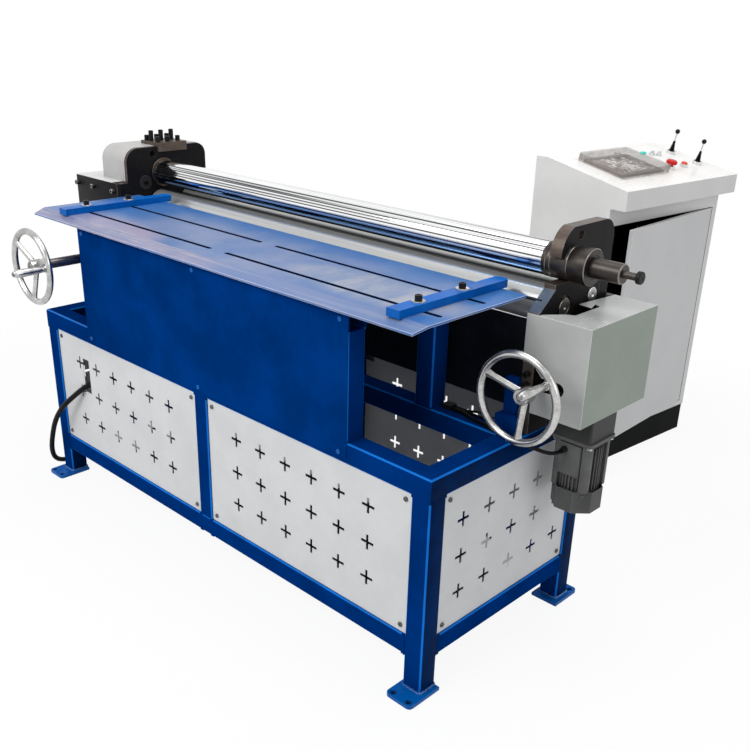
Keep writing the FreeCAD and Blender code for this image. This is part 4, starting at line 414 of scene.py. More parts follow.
def satin_roll(name, roll, first, last, fade):
    pale, deeper = (0.62, 0.625, 0.62), (0.446, 0.45, 0.446)
    f = Finish(name, pale, 0.19, metallic=0.6)
    lines = f.noise(40.0, (0.01, 1, 1), 7.0, 0.7)
    cloud = f.noise(14.0, detail=6.0, rough=0.65)
    angle = round_angle(f, mm(0, *roll))
    # a dark band between two angles: painted shade where the roll beside it shades this one
    painted_shade_band = angle.between(first, first + fade) * angle.between(last, last - fade)
    tint = f.mix(lines.between(0.35, 0.65), deeper, pale)
    tint = f.mix(cloud.between(0.42, 0.68) * 0.3, tint, (0.50, 0.50, 0.50))
    f.put("Base Color", f.mix(painted_shade_band, tint, (0.006, 0.006, 0.007)))
    f.put("Metallic", 0.6 - painted_shade_band * 0.6)
    f.put("Roughness", lines * 0.05 + cloud * 0.12 + painted_shade_band * 0.45 + 0.115)
    f.relief(lines, 0.000004)


chrome_roll()
satin_roll("satin_roll", front_roll, -26, 9, 6)
satin_roll("satin_rear_roll", rear_roll, 50, 84, 14)
metal("plate_steel", (0.011, 0.0105, 0.012), 0.46, per_metre=60.0, soot=(0.005, 0.005, 0.007),
      metallic=0.05, depth=0.00005, gloss=0.08)
metal("plate_edge", (0.125, 0.095, 0.078), 0.40, (0.2, 1, 1), soot=(0.05, 0.038, 0.03),
      metallic=0.7)
# painted highlight: a lighter steel blue for the side plates' sloping tops, which face the light
metal("plate_ledge", (0.085, 0.115, 0.165), 0.36, per_metre=80.0, soot=(0.03, 0.05, 0.10),
      metallic=0.7)
metal("turned_dark", (0.060, 0.052, 0.046), 0.34, (0.03, 1, 1), 300.0, 0.00012,
      (0.018, 0.016, 0.015), metallic=0.8)
metal("turned_edge", (0.26, 0.24, 0.22), 0.30, (1, 0.05, 0.05), 500.0)
metal("cast_bright", (0.64, 0.64, 0.63), 0.24, None, 30.0, 0.00001, (0.17, 0.165, 0.16), 0.55,
      spread=0.08)
metal("gear_steel", (0.30, 0.29, 0.28), 0.33, (0.2, 1, 1), soot=(0.07, 0.055, 0.045))
metal("bush_steel", (0.13, 0.10, 0.08), 0.36, (1, 0.1, 0.1), soot=(0.03, 0.025, 0.02))
metal("screw_black", (0.010, 0.010, 0.011), 0.36, soot=(0.04, 0.036, 0.03), soot_share=0.2,
      metallic=0.1, gloss=0.12)
metal("screw_bright", (0.62, 0.62, 0.62), 0.30, soot=(0.25, 0.24, 0.23), soot_share=0.4)
metal("screw_panel", (0.13, 0.128, 0.125), 0.34, soot=(0.05, 0.05, 0.05), metallic=0.4, gloss=0.2)
metal("disc_steel", (0.040, 0.038, 0.042), 0.36, metallic=0.3, gloss=0.15)
metal("screw_dull", (0.24, 0.235, 0.23), 0.34, soot=(0.10, 0.10, 0.10), soot_share=0.6)
metal("weld_blue", (0.05, 0.16, 0.42), 0.30, None, 500.0, 0.0002, (0.005, 0.06, 0.26), 0.8, 0.3)
metal("bezel_silver", (0.80, 0.80, 0.80), 0.24, per_metre=300.0)
print("finishes so far", len(finishes))

# %% [markdown]
# The small parts are moulded: black rubber and plastic, red and orange buttons, a cyan lamp and a
# clear lid. Rubber and plastic get a fine grain. The clear lid is a thin sheet that shows the screen
# through it, so it is made partly see-through by its alpha, which also survives an export. Its walls
# and edges are darker and less clear, because one looks through more of the sheet there.


# %% Plastic finishes
def plastic(name, colour, rough, depth=0.00003, gloss=0.5):
    f = Finish(name, colour, rough, gloss=gloss)
    fine = f.noise(900.0)
    cloud = f.noise(40.0, detail=4.0)
    f.put("Base Color", f.mix(cloud.between(0.3, 0.7), tuple(c * 0.85 for c in colour), colour))
    f.put("Roughness", fine * 0.1 + cloud * 0.08 + (rough - 0.09))
    f.relief(fine, depth)


def clear_sheet(name, colour, share, rough):
    f = Finish(name, colour, rough, gloss=0.35)
    haze = f.noise(30.0, detail=6.0, rough=0.65)
    f.put("Alpha", haze.between(0.35, 0.75) * 0.14 + share)
    f.put("Roughness", haze * 0.1 + rough)


def dark_screen():
    f = Finish("dark_screen", (0.075, 0.072, 0.072), 0.12, gloss=0.6)
    smear = f.noise(26.0, (1.0, 0.5, 1.0), 7.0, 0.7)
    # pale spots on the dark screen: painted glints
    painted_glints = f.noise(60.0, detail=6.0, rough=0.7).between(0.50, 0.58)
    tint = f.mix(smear.between(0.46, 0.56), (0.040, 0.035, 0.033), (0.30, 0.25, 0.225))
    f.put("Base Color", f.mix(painted_glints * 0.9, tint, (0.80, 0.74, 0.70)))
    f.put("Roughness", smear * 0.25 + 0.03)


plastic("cable_rubber", (0.004, 0.004, 0.0045), 0.42, gloss=0.10)
plastic("black_plastic", (0.010, 0.010, 0.011), 0.42, gloss=0.25)
plastic("knob_black", (0.006, 0.006, 0.007), 0.16, 0.000005, 0.15)
plastic("stop_red", (0.60, 0.012, 0.012), 0.26, 0.00001, 0.15)
plastic("push_orange", (0.78, 0.10, 0.04), 0.28, 0.00001, 0.2)
plastic("plug_orange", (0.62, 0.10, 0.03), 0.40)
plastic("lamp_cyan", (0.03, 0.80, 0.68), 0.18, 0.00001, 0.2)
plastic("panel_frame", (0.16, 0.145, 0.135), 0.38, gloss=0.2)
clear_sheet("clear_lid_sheet", (0.55, 0.50, 0.47), 0.04, 0.04)
clear_sheet("clear_lid_wall", (0.34, 0.30, 0.28), 0.30, 0.10)
clear_sheet("clear_lid_edge", (0.22, 0.19, 0.17), 0.86, 0.10)
dark_screen()
print("finishes in all", len(finishes))

# %% [markdown]
# Four cables show on this machine. The thick mains cable comes out of the left panel, drops to the
# floor and runs behind the stand to a coil and a plug. The motor's cable and two thin ones lie along
# the inner beam. A cable is a round thing of one thickness, so each is a smooth curve with a round
# section, and its points are the same ones that the solids' tubes follow.


# %% Cables
def lead(name, points, radius, solids,
         extra=()):
    curve = bpy.data.curves.new(name, "CURVE")
    curve.dimensions = "3D"
    spline = curve.splines.new("NURBS")
    spline.points.add(len(points) - 1)
    for point, place in zip(spline.points, points):
        point.co = (*mm(*place), 1.0)
    spline.order_u = 3
    spline.use_endpoint_u = True
    spline.resolution_u = 10
    curve.bevel_depth = radius / 1000
    curve.bevel_resolution = 5
    curve.use_fill_caps = True
    curve.materials.append(finishes["cable_rubber"])
    cable = added(name, curve)
    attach(cable, "frame")
    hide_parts(*solids.split())
    mm(*points[0])


lead("motor_cable", [
    (1848, 421, 588), (1848, 393, 588), (1834, 359, 600), (1804, 329, 618), (1764, 311, 632.3),
    (1718, 311, 630.3), (1668, 333, 628.3), (1620, 337, 628.3), (1579, 353, 628.3),
    (1539, 353, 628.3)], 5.0, "frame_cables")
lead("thin_cable_one", [
    (1539, 363.5, 626.8), (1567, 363.5, 626.8), (1601, 367, 626.8), (1633, 363, 626.8),
    (1663, 374, 634.8), (1687, 395, 626.8), (1689, 397, 594.8), (1689, 397, 568)],
    3.5, "frame_cables")
lead("thin_cable_two", [
    (1539, 372, 626.8), (1559, 372, 626.8), (1583, 374, 626.8), (1611, 376, 633.8),
    (1643, 394, 627.8), (1647, 397, 596.8), (1647, 397, 568)],
    3.5, "frame_cables")

fall = [(282, 62, 446), (224, 4, 400), (168, -16, 352), (112, -36, 300), (62, -46, 236),
        (24, -46, 162), (-6, -42, 92), (-27, -22, 38), (-42, 26, 12), (-48, 86, 9.3),
        (-52, 170, 9.3), (-46, 300, 9.3), (-55, 440, 9.3), (-48, 580, 9.3), (-44, 690, 9.3),
        (-20, 770, 9.3), (50, 800, 9.3), (132, 800, 9.3)]
turns = []
for step in range(33):
    angle = math.radians(22.5 * step - 90)
    turns.append((150 + 100 * math.cos(angle), 900 + 100 * math.sin(angle), 9.3 + 1.2 * step))
plug_place = (338, 800, 29.3)
tail = [(205, 800, 47.7), (240, 800, 45.5), (280, 800, 31.5), (315, 800, 29.3), plug_place]
print("mains cable has", len(fall) + len(turns) + len(tail), "points")

# %% [markdown]
# Many of the machine's parts are round: rolls, collars, knobs, grips, buttons. A turned part is
# drawn by its outline, a list of distances along the axis with a radius at each, and the outline is
# swept round the axis. Small steps in the outline give the chamfers and grooves that catch light.


# %% Turned shapes
def circle(count):
    angles = [2 * math.pi * k / count for k in range(count)]
    return [(math.cos(a), math.sin(a)) for a in angles]


def neighbours(rows, closed):
    return zip(rows, rows[1:] + rows[:1] if closed else rows[1:])


def turned(bm, outline, base, along, steps=48, loop=False, finish=0):
    axis = along.normalized()
    side = axis.orthogonal().normalized()
    other = axis.cross(side)
    rings = []
    for distance, radius in outline:
        centre = base + axis * (distance / 1000)
        rings.append([bm.verts.new(centre + (side * c + other * s) * radius / 1000)
                      for c, s in circle(steps if radius > 0 else 1)])
    for first, second in neighbours(rings, loop):
        for k in range(steps):
            n = (k + 1) % steps
            if len(first) == 1:
                corners = (first[0], second[n], second[k])
            elif len(second) == 1:
                corners = (first[k], first[n], second[0])
            else:
                corners = (first[k], first[n], second[n], second[k])
            bm.faces.new(corners).material_index = finish


def smoothed(mesh, degrees):
    mesh.shade_smooth()
    mesh.set_sharp_from_angle(angle=math.radians(degrees))


def piece(name, mesh, body, replaces):
    made = added(name, mesh)
    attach(made, body)
    if replaces:
        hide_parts(*replaces.split())
    print(name, len(mesh.polygons), "faces")
    return made


def placed(name, bm, materials, body, replaces="", smooth=32, fix=False):
    if fix:
        bmesh.ops.recalc_face_normals(bm, faces=bm.faces[:])
    mesh = bpy.data.meshes.new(name)
    bm.to_mesh(mesh)
    bm.free()
    for material in materials:
        mesh.materials.append(material)
    smoothed(mesh, smooth)
    return piece(name, mesh, body, replaces)


def turned_piece(name, replaces, body, slot, names, base, along, *shapes, loop=False):
    bm = bmesh.new()
    for finish, (steps, outline) in enumerate(shapes):
        turned(bm, outline, base, along, steps, loop, finish)
    return placed(name, bm, looks(names), body, replaces)


print("turning tools ready")

# %% [markdown]
# The mains cable ends in a round industrial plug with a ribbed grip, a collar and four pins inside
# a sleeve. It lies on the floor behind the stand. The plug is turned, and its pins are turned too.
# Where the cable leaves the panel it runs through a ribbed rubber relief, which is turned along the
# cable's first stretch.


# %% Mains plug and mains cable
def mains_plug():
    x, y, z = plug_place
    bm = bmesh.new()
    outline = [(-6, 0), (-6, 9.2), (-6, 11), (0, 12)]
    for k in range(6):
        low, r = 4 * k, 13.0 + 1.1 * k
        outline += [(low + 1, r), (low + 2.6, r + 0.4), (low + 3.0, r - 0.6)]
    outline += [(26, 20), (29, 23), (31, 24), (52, 24), (53, 23.2), (55, 23.2), (56, 24), (83, 24),
                (86, 24), (86, 28), (87, 29), (93, 29), (94, 28), (94, 24), (129, 24), (130, 23.4),
                (130, 21), (95, 21), (95, 0)]
    turned(bm, outline, mm(x, y, z), X)
    for k in range(4):
        a = 2 * math.pi * (k + 0.5) / 4
        turned(bm, [(0, 0), (0, 3), (29, 3), (31, 2), (32, 0)],
               mm(x + 94, y + 12 * math.cos(a), z + 12 * math.sin(a)), X, 16, finish=1)
    return placed("mains_plug_body", bm, looks("plug_orange bezel_silver"), "frame",
                  "mains_plug")


ribs = [(-1, 9.2), (-1, 13.2), (5, 13.2), (5.6, 12.4)]
for k in range(5):
    low, r = 5 * k, 12.4 - 0.6 * k
    ribs += [(low + 6, r), (low + 9, r - 0.25), (low + 9.4, r - 1.3), (low + 10.8, r - 1.4)]
ribs += [(31, 9.9), (34, 9.3), (34, 9.2)]
turned_piece("mains_cable_relief", "", "frame", "black_rubber", "cable_rubber", mm(*fall[0]),
             mm(*fall[1]) - mm(*fall[0]), (36, ribs), loop=True)
lead("mains_cable_whole", fall + turns + tail, 9.0, "mains_cable mains_coil",
     [mains_plug()])

# %% [markdown]
# The background of the photograph is plain white, and the light is soft with a brighter side in
# front. The world is white where the camera or a shiny surface sees it and a softer grey where it
# lights the object. The floor is pale and keeps a light shadow. Under the stand, just behind it
# and at the feet, its colour is painted near black, a painted shadow. Three large lamps give the
# faces their different brightness.


# %% Studio
def studio():
    world = bpy.data.worlds.new("studio")
    bpy.context.scene.world = world
    world.use_nodes = True
    net = Net(world.node_tree)
    net.tree.nodes.clear()
    seen = net.node("ShaderNodeLightPath", out="Is Camera Ray")
    shiny, through = seen.also("Is Glossy Ray"), seen.also("Is Transmission Ray")
    white_share = seen.math("MAXIMUM", shiny).math("MAXIMUM", through)
    soft = net.node("ShaderNodeBackground", [(0.93, 0.96, 1.0, 1.0), 0.50])
    white = net.node("ShaderNodeBackground", [(1.0, 1.0, 1.0, 1.0), 1.0])
    net.end("ShaderNodeOutputWorld", net.node("ShaderNodeMixShader", [white_share, soft, white]))


def pale_floor():
    half, low, pale = 9.0, -0.001, (0.86, 0.86, 0.86)
    mesh = bpy.data.meshes.new("floor")
    mesh.from_pydata([(-half, -half, low), (half, -half, low), (half, half, low),
                      (-half, half, low)], [], [(0, 1, 2, 3)])
    f = Finish("floor_white", pale, 0.9, gloss=0.1)
    seen = f.node("ShaderNodeLightPath", out="Is Camera Ray")
    glow = f.node("ShaderNodeEmission", {"Color": (1, 1, 1, 1), "Strength": 1.0})
    x, y, _ = f.axes()
    across, deep = x.math("ABSOLUTE"), y.math("ABSOLUTE")
    # painted shadow: the floor's colour is near black under the stand, under the feet and just
    # behind it
    inside = x.near(-0.05, 0.83, 0.79) * y.near(0.075, 0.27, 0.24)
    under_feet = across.near(0.86, 0.041, 0.039) * deep.near(0.322, 0.052, 0.050)
    behind = x.near(-0.215, 0.915, 0.86) * y.near(0.20, 0.37, 0.34)
    dark = inside.math("MAXIMUM", under_feet).math("MAXIMUM", behind * 0.80)
    far = (across * across + deep * deep).between(3.0, 9.0)
    shown = seen.math("MAXIMUM", seen.also("Is Glossy Ray")) * (far * 0.09 + 0.91) * (1.0 - dark)
    f.put("Base Color", f.mix(dark, pale, (0.02, 0.02, 0.02)))
    both = f.node("ShaderNodeMixShader", [shown, Value(f, f.shader.outputs[0]), glow])
    f.join(f.tree.nodes["Material Output"].inputs["Surface"], both)
    mesh.materials.append(f.material)
    added("floor", mesh)


def lamp(name, place, aim, size, watts):
    light = bpy.data.lights.new(name, "AREA")
    light.shape = "RECTANGLE"
    light.size, light.size_y = size
    light.energy = watts
    holder = added(name, light)
    holder.location = place
    holder.rotation_mode = "QUATERNION"
    holder.rotation_quaternion = (Vector(aim) - Vector(place)).to_track_quat("-Z", "Y")


studio()
pale_floor()
lamp("front_lamp", (-0.6, -4.4, 4.3), (0, 0, 0.6), (3.4, 2.4), 185.0)
lamp("top_lamp", (0.4, 0.6, 5.0), (0, 0.2, 0.6), (2.6, 2.6), 75.0)
lamp("side_lamp", (4.6, 0.6, 3.0), (0, 0, 0.6), (2.0, 2.4), 35.0)
print("studio ready")

# %% [markdown]
# Tubes, bars and blocks on a real machine have small rounded or broken edges, and these edges draw
# the bright lines that make a form readable. A block is a box with its edges rounded. A square tube
# has larger corners, because it is rolled from strip, and it is open at its ends, with a wall.

# %% Blocks and tubes
tube, tube_wall, tube_corner, corner_points = 60.0, 4.0, 7.0, 5


def box(bm, low, high, place=mm):
    made = bmesh.ops.create_cube(bm, size=1.0)["verts"]
    for v in made:
        v.co = place(*(low[i] if v.co[i] < 0 else high[i] for i in range(3)))
    return made


def block(bm, low, high, soft, finish=0, place=mm):
    edges = list({e for v in box(bm, low, high, place) for e in v.link_edges})
    result = bmesh.ops.bevel(bm, geom=edges, offset=soft / 1000, offset_type="OFFSET",
                             segments=2, profile=0.5, affect="EDGES")
    for face in result["faces"]:
        face.material_index = finish


def round_square(side, r):
    points = []
    for cx, cy, start in ((side - r, side - r, 0), (r, side - r, 90), (r, r, 180),
                          (side - r, r, 270)):
        for k in range(corner_points):
            a = math.radians(start + 90 * k / (corner_points - 1))
            points.append((cx + r * math.cos(a), cy + r * math.sin(a)))
    return points


def tube_sections():
    inner = round_square(tube - 2 * tube_wall, tube_corner - tube_wall)
    return round_square(tube, tube_corner), [(a + tube_wall, b + tube_wall) for a, b in inner]


def skin(bm, loops, closed=False, corner=0):
    for first, second in neighbours(loops, closed):
        for k in range(len(first)):
            n = (k + 1) % len(first)
            face = bm.faces.new((first[k], first[n], second[n], second[k]))
            # the rounded corner faces take finish 1, which on the stand is a painted highlight
            face.material_index = 1 if corner and k % corner in (1, 2) else 0


def square_tube(bm, axis, at, start, end, flat=1.0):
    loops = []
    for s in (start, end):
        for section in tube_sections():
            loop = []
            for a, b in section:
                p = [at[0] + a, at[1] + b * flat]
                p.insert("xyz".index(axis), s)
                loop.append(bm.verts.new(mm(*p)))
            loops.append(loop)
    outer, inner, far_outer, far_inner = loops
    skin(bm, [outer, far_outer, far_inner, inner], True, corner_points)


print("tube section has", len(tube_sections()[0]), "corners")

# %% [markdown]
# The stand is a welded frame: six posts, a top ring whose tubes meet at 45 degrees, lower rails, and
# an inner beam that carries the rear table uprights. The ring is one section carried round four
# corners, so its mitres close by themselves, and the other tubes butt against it. Where they meet,
# thin filler boxes stand for the welds that are ground flush. The faces towards the right end are
# painted a darker blue, a painted shade for the side that gets less light, and the tubes' outer
# corners a lighter one, a painted highlight.

# %% Stand
length, depth, ring_z, rail_z = 1774, 672, 563, 103
post_x, middle_x, post_y, beam_y = (0, 1714), 857, (0, 612), 317


def top_ring(bm):
    corners = ((0, 0, 1, 1), (length, 0, -1, 1), (length, depth, -1, -1), (0, depth, 1, -1))
    for section in tube_sections():
        skin(bm, [[bm.verts.new(mm(x + dx * a, y + dy * a, ring_z + b)) for a, b in section]
                  for x, y, dx, dy in corners], True, corner_points)


def ground_welds(bm):
    back = 0.08
    wide, low, high = tube - back, rail_z + back, rail_z + tube - back
    for y in post_y:
        for x in (*post_x, middle_x):
            box(bm, (x + back, y + back, 559), (x + wide, y + wide, 571))
        for x in (54, 854, 907, 1704):
            box(bm, (x, y + back, low), (x + 13, y + wide, high))
    for x in post_x:
        for y in (53, 605):
            box(bm, (x + back, y, low), (x + wide, y + 14, high))


def stand():
    bm = bmesh.new()
    top_ring(bm)
    for y in post_y:
        square_tube(bm, "x", (y, rail_z), 60, 1714)
        square_tube(bm, "z", (middle_x, y), 163, ring_z)
        for x in post_x:
            square_tube(bm, "z", (x, y), 10, ring_z)
    for x in post_x:
        square_tube(bm, "y", (x, rail_z), 60, 612)
    square_tube(bm, "x", (beam_y, ring_z), 60, 1714)
    ground_welds(bm)
    bm.normal_update()
    # faces towards the right end take the darker blue, a painted shade
    for face in bm.faces:
        if face.normal.x > 0.9 and not face.material_index:
            face.material_index = 2
    placed("stand_tubes", bm, looks("stand_blue stand_edge stand_side"), "frame",
           "base_rails base_posts", fix=True)


def supports():
    bm = bmesh.new()
    for x in (277, 1437):
        square_tube(bm, "z", (x, 0), 623, 905)
        square_tube(bm, "z", (x, beam_y), 623, 971)
    square_tube(bm, "x", (0, 905), 277, 1497, 50 / 60)
    block(bm, (277, 24, 955), (1497, 60, 971), 1.5)
    block(bm, (1697, 330, 623), (1757, 371, 672), 2.0)
    block(bm, (1707, 350, 672), (1741, 371, 770), 2.0)
    placed("table_supports", bm, looks("stand_blue stand_edge"), "frame",
           "table_uprights", fix=True)


stand()
supports()

# %% [markdown]
# Plates and folded sheets keep the outline that their solid has. A copy of the solid's mesh is
# merged into one skin, its flat faces are joined, and its sharp edges are rounded by a Bevel
# modifier. The new narrow faces get their own finish. On cut and turned steel it is the brighter
# bare metal of the edge. On the painted sheets, the table, the guide bars, the motor and the console
# it is a lighter colour, a painted highlight of the light that a rounded edge catches. A small
# function for each painted sheet says which finish a face gets by its place and direction. Some of
# these
# paint light and shade: lit tops, shaded sides and dark faces inside, where shade falls.


# %% Rounded copies of solids
def applied(work):
    seen = work.evaluated_get(bpy.context.evaluated_depsgraph_get())
    return bpy.data.meshes.new_from_object(seen)


def rounded(name, node, width, names, pick=None, keep=None, steps=2, angle=40):
    source = nodes[node]
    bm = bmesh.new()
    bm.from_mesh(source.data)
    bmesh.ops.remove_doubles(bm, verts=bm.verts[:], dist=0.00002)
    bmesh.ops.dissolve_limit(bm, angle_limit=math.radians(0.8), verts=bm.verts[:],
                             edges=bm.edges[:])
    weight = bm.edges.layers.float.new("bevel_weight_edge")
    for face in bm.faces:
        centre = drawing(face.calc_center_median())
        face.material_index = pick(*centre, face.normal) if pick else 0
    for e in bm.edges:
        if len(e.link_faces) == 2 and e.calc_face_angle(0.0) > math.radians(angle):
            middle = (e.verts[0].co + e.verts[1].co) / 2
            e[weight] = 0.0 if keep and keep(*drawing(middle)) else 1.0
    mesh = bpy.data.meshes.new(name)
    bm.to_mesh(mesh)
    bm.free()
    work = added(name + "_work", mesh)
    for material in looks(names):
        mesh.materials.append(material)
    mesh.shade_smooth()
    bevel = work.modifiers.new("edges", "BEVEL")
    bevel.width = width / 1000
    bevel.segments = steps
    bevel.limit_method = "WEIGHT"
    # bevel faces take finish 1: bare steel on cut plates, a lighter painted highlight on paint
    bevel.material = 1
    bevel.use_clamp_overlap = True
    done = applied(work)
    smoothed(done, 32)
    work.modifiers.clear()
    work.data = done
    work.modifiers.new("even", "WEIGHTED_NORMAL").keep_sharp = True
    final = applied(work)
    bpy.data.objects.remove(work)
    final.name = name
    piece(name, final, body_of(source)[0], node)


def in_slot(x, y, z):
    return 95 < x < 1705 and z < 978 and min(abs(y - 90), abs(y - 248)) < 8


def table_face(x, y, z, normal):
    # slot walls take the near-black blue, painted shade
    if in_slot(x, y, z) and abs(normal.z) < 0.5:
        return 2
    # the sloping lip takes its own worn finish, which also carries painted sheen
    return 3 if y < 20 and 0.3 < normal.z < 0.995 else 0


def plate_face(x, y, z, normal):
    if abs(normal.x) > 0.5:
        return 0
    # the sloping top takes the lighter ledge finish, a painted highlight
    return 3 if y < 440 and 850 < z < 1010 and normal.z > 0.2 else 2


def box_face(x, y, z, normal):
    # top faces take the lighter copy, painted light; faces towards +X the darker one, painted shade
    return 2 if normal.z > 0.7 else 3 if normal.x > 0.7 else 0


def hood_face(x, y, z, normal):
    return 1 if z < 1026 else 0


def lid_face(x, y, z, normal):
    return 2 if abs(normal.z) < 0.7 else 0


def shell_face(x, y, z, normal):
    across, away = x - console_x, y - console_y
    u = across * math.cos(console_turn) + away * math.sin(console_turn)
    v = -across * math.sin(console_turn) + away * math.cos(console_turn)
    below = (z - desk_z) * math.cos(slope) - (v - desk_v) * math.sin(slope)
    # faces inside the shell take near black, painted shade for the dark inside; tops take painted
    # light, +X faces painted shade
    if 1 < u < 689 and 1 < v < 340 and 113 < z < 1128 and below < -1:
        return 2
    return 4 if normal.z > 0.8 else 3 if normal.x > 0.6 else 0


console_x, console_y, console_turn = 1343.3, 1398.9, math.radians(84.56)
desk_v, desk_z, slope = -61.0, 1067.0, math.atan2(70.0, 349.0)
rounded("front_cover_sheet", "front_cover", 0.8, "cover_blue stand_edge")
rounded("foot_plates_cut", "foot_plates", 1.4, "foot_blue weld_blue")
rounded("feed_table_sheet", "feed_table", 1.0, "worn_table table_edge slot_blue worn_lip",
        table_face, in_slot, angle=30)
for side in ("left", "right"):
    rounded(f"guide_bar_{side}_cut", f"guide_bar_{side}", 1.0, "bar_blue bar_edge")
rounded("left_plate_cut", "side_plate_left", 1.0, "plate_steel plate_edge plate_edge plate_ledge",
        plate_face)
rounded("right_plate_cut", "side_plate_right", 1.2,
        "plate_steel turned_edge plate_edge plate_ledge", plate_face)
rounded("bed_and_tie", "cross_members", 1.0, "bed_dark bed_dark")
rounded("gear_hood_and_deck", "gear_cover", 0.8, "hood_paint deck_paint", hood_face)
rounded("clamp_plate_cut", "clamp_plate", 1.0, "plate_edge plate_edge")
rounded("bushes_turned", "roll_bushes", 0.8, "bush_steel turned_edge")
rounded("right_cover_sheet", "right_cover", 0.9, "cover_grey cover_edge cover_top cover_side",
        box_face)
rounded("gearbox_cast", "gearbox", 2.0, "gearbox_grey motor_edge")
rounded("motor_cast", "motor_body", 0.8, "motor_frame motor_edge")
rounded("fan_cover_sheet", "fan_cover", 0.8, "motor_grey motor_edge")
rounded("wiring_boxes", "wiring_fittings", 1.2, "black_plastic black_plastic")
rounded("console_shell", "console_body", 1.2,
        "console_white console_edge shade_dark console_front desk_white",
        shell_face)
rounded("console_foot", "console_plinth", 1.0, "plinth_black plinth_black")
rounded("console_door_sheet", "console_door", 1.0, "door_white console_edge")
rounded("screen_frame_moulded", "touch_panel", 1.2, "panel_frame panel_frame")
rounded("clear_lid_moulded", "clear_lid", 1.6, "clear_lid_sheet clear_lid_edge clear_lid_wall",
        lid_face)
rounded("control_rings", "control_bezels", 0.8, "bezel_silver bezel_silver")
rounded("lamp_lens", "indicator_lamp", 2.0, "lamp_cyan lamp_cyan", steps=3)
for side in ("left", "right"):
    rounded(f"selector_{side}_knob", f"selector_{side}", 0.8, "bezel_silver bezel_silver")

# %% [markdown]
# The gear case is built from four plates: two that stand across, one in front that ties them, and
# one behind. They are plain cut plates, so each is a block with broken edges.

# %% Gear case plates
case = bmesh.new()
for low, high in (((-133, 312, 640), (-113, 684, 1023)), ((-241, 312, 880), (-216, 684, 1023)),
                  ((-241, 300, 640), (33, 312, 1023)), ((-241, 684, 640), (33, 696, 1023))):
    block(case, low, high, 1.0, 1)
placed("gear_case_plates", case, looks("plate_steel plate_edge"), "frame",
       "gear_plates")

# %% [markdown]
# Three rolls do the work. The chromed top roll can be lifted out after the sleeve at its right end
# is drawn back, so it carries a collar, a stub and a thin spindle with an end disc. The front and
# rear rolls are plain with journals. All of these are turned shapes with fine chamfers, and on the
# top roll and the sleeve the chamfers are brighter than the turned faces.


# %% Rolls and release sleeve
def chamfers(bm, finish, inner=0.0):
    axis = mm(0, *top_roll)
    bm.normal_update()
    for face in bm.faces:
        place = face.calc_center_median()
        out = math.hypot(place.y - axis.y, place.z - axis.z)
        if 0.3 < abs(face.normal.x) < 0.95 and out >= inner and face.material_index == finish - 1:
            face.material_index = finish


def top_roll_turned():
    bm = bmesh.new()
    body = [(-79, 0), (-79, 27), (-78, 28), (40.5, 28), (40.5, 42), (41.5, 43), (1707, 43),
            (1708, 42.6)]
    collar = [(1708, 30), (1708, 42.0), (1709, 44), (1719, 44), (1721, 42), (1721, 25.6)]
    stub = [(1724, 25), (1912, 25), (1915, 22.5), (1915, 9.6)]
    spindle = [(1917, 9), (1950, 9), (1950, 13.8), (1951.5, 15.5), (1960.5, 15.5), (1962, 14),
               (1962, 3.2), (1959, 0)]
    turned(bm, body, mm(0, *top_roll), X, 96)
    turned(bm, collar + stub + spindle, mm(0, *top_roll), X, 72, finish=1)
    chamfers(bm, 2)
    for face in bm.faces:
        if drawing(face.calc_center_median())[0] > 1949.5:
            face.material_index = 3
    placed("top_roll_turned", bm, looks("chrome_roll turned_dark turned_edge screw_black"),
           "top_roll_set", "top_roll")


def sleeve():
    bm = bmesh.new()
    turned(bm, [(0, 25.05), (0, 43), (1.5, 44.5), (12, 44.5), (13, 43.9), (14, 44.5), (60, 44.5),
                (61, 44.0), (62, 44.5), (95, 44.5), (96.2, 45.3), (97, 46.5), (110, 46.5),
                (112, 44.5), (112, 30), (110.5, 28.5), (110.5, 25.05)],
           mm(1721, *top_roll), X, 96, loop=True)
    chamfers(bm, 1, 0.042)
    placed("release_sleeve_turned", bm, looks("turned_dark turned_edge"), "sleeve",
           "release_sleeve")


top_roll_turned()
turned_piece("front_roll_turned", "front_roll", "front_roll_set", "satin_roll",
             "satin_roll gear_steel", mm(0, *front_roll), X,
             (96, [(-79, 0), (-79, 23), (-78, 24), (38, 24), (38, 49), (39, 50), (1737, 50),
                   (1738, 49), (1738, 24)]),
             (64, [(1738, 24), (1774.5, 24), (1776, 22.5), (1776, 18), (1775, 17.6), (1775, 6),
                   (1770, 0)]))
turned_piece("rear_roll_turned", "rear_roll", "rear_roll_set", "chrome_roll",
             "satin_rear_roll screw_bright", mm(0, *rear_roll), X,
             (96, [(-4, 0), (-4, 19), (-3, 20), (50, 20), (50, 42), (51, 43), (1689, 43),
                   (1690, 42), (1690, 20)]),
             (64, [(1690, 20), (1776.5, 20), (1778, 18.5), (1778, 6), (1774, 0)]))
sleeve()

# %% [markdown]
# The two handwheels are castings: a round rim, a hub set back, and three spokes that are oval and
# grow wider where they join the rim. A spoke is a row of oval sections between hub and rim. The
# crank pin stands on the rim with a grip that spins on it.

# %% Handwheels
rim_radius, rim_thick, crank_radius, sections = 110, 10, 97, 12


def oval_spoke(bm, start, end):
    along = (end - start).normalized()
    wide = along.cross(Y).normalized()
    thick = wide.cross(along).normalized()
    loops = []
    for i in range(sections + 1):
        t = i / sections
        flare = 1 + 0.55 * max(0.0, (t - 0.72) / 0.28) ** 2 + 0.25 * max(0.0, 1 - t / 0.18) ** 2
        w, d = (10.5 * (1 - t) + 8.5 * t) * flare, 7.5 * (1 - t) + 6.5 * t
        middle = start + (end - start) * t
        loops.append([bm.verts.new(middle + (wide * (w * c) + thick * (d * s)) / 1000)
                      for c, s in circle(20)])
    skin(bm, loops)
    bm.faces.new(loops[0])
    bm.faces.new(list(reversed(loops[-1])))


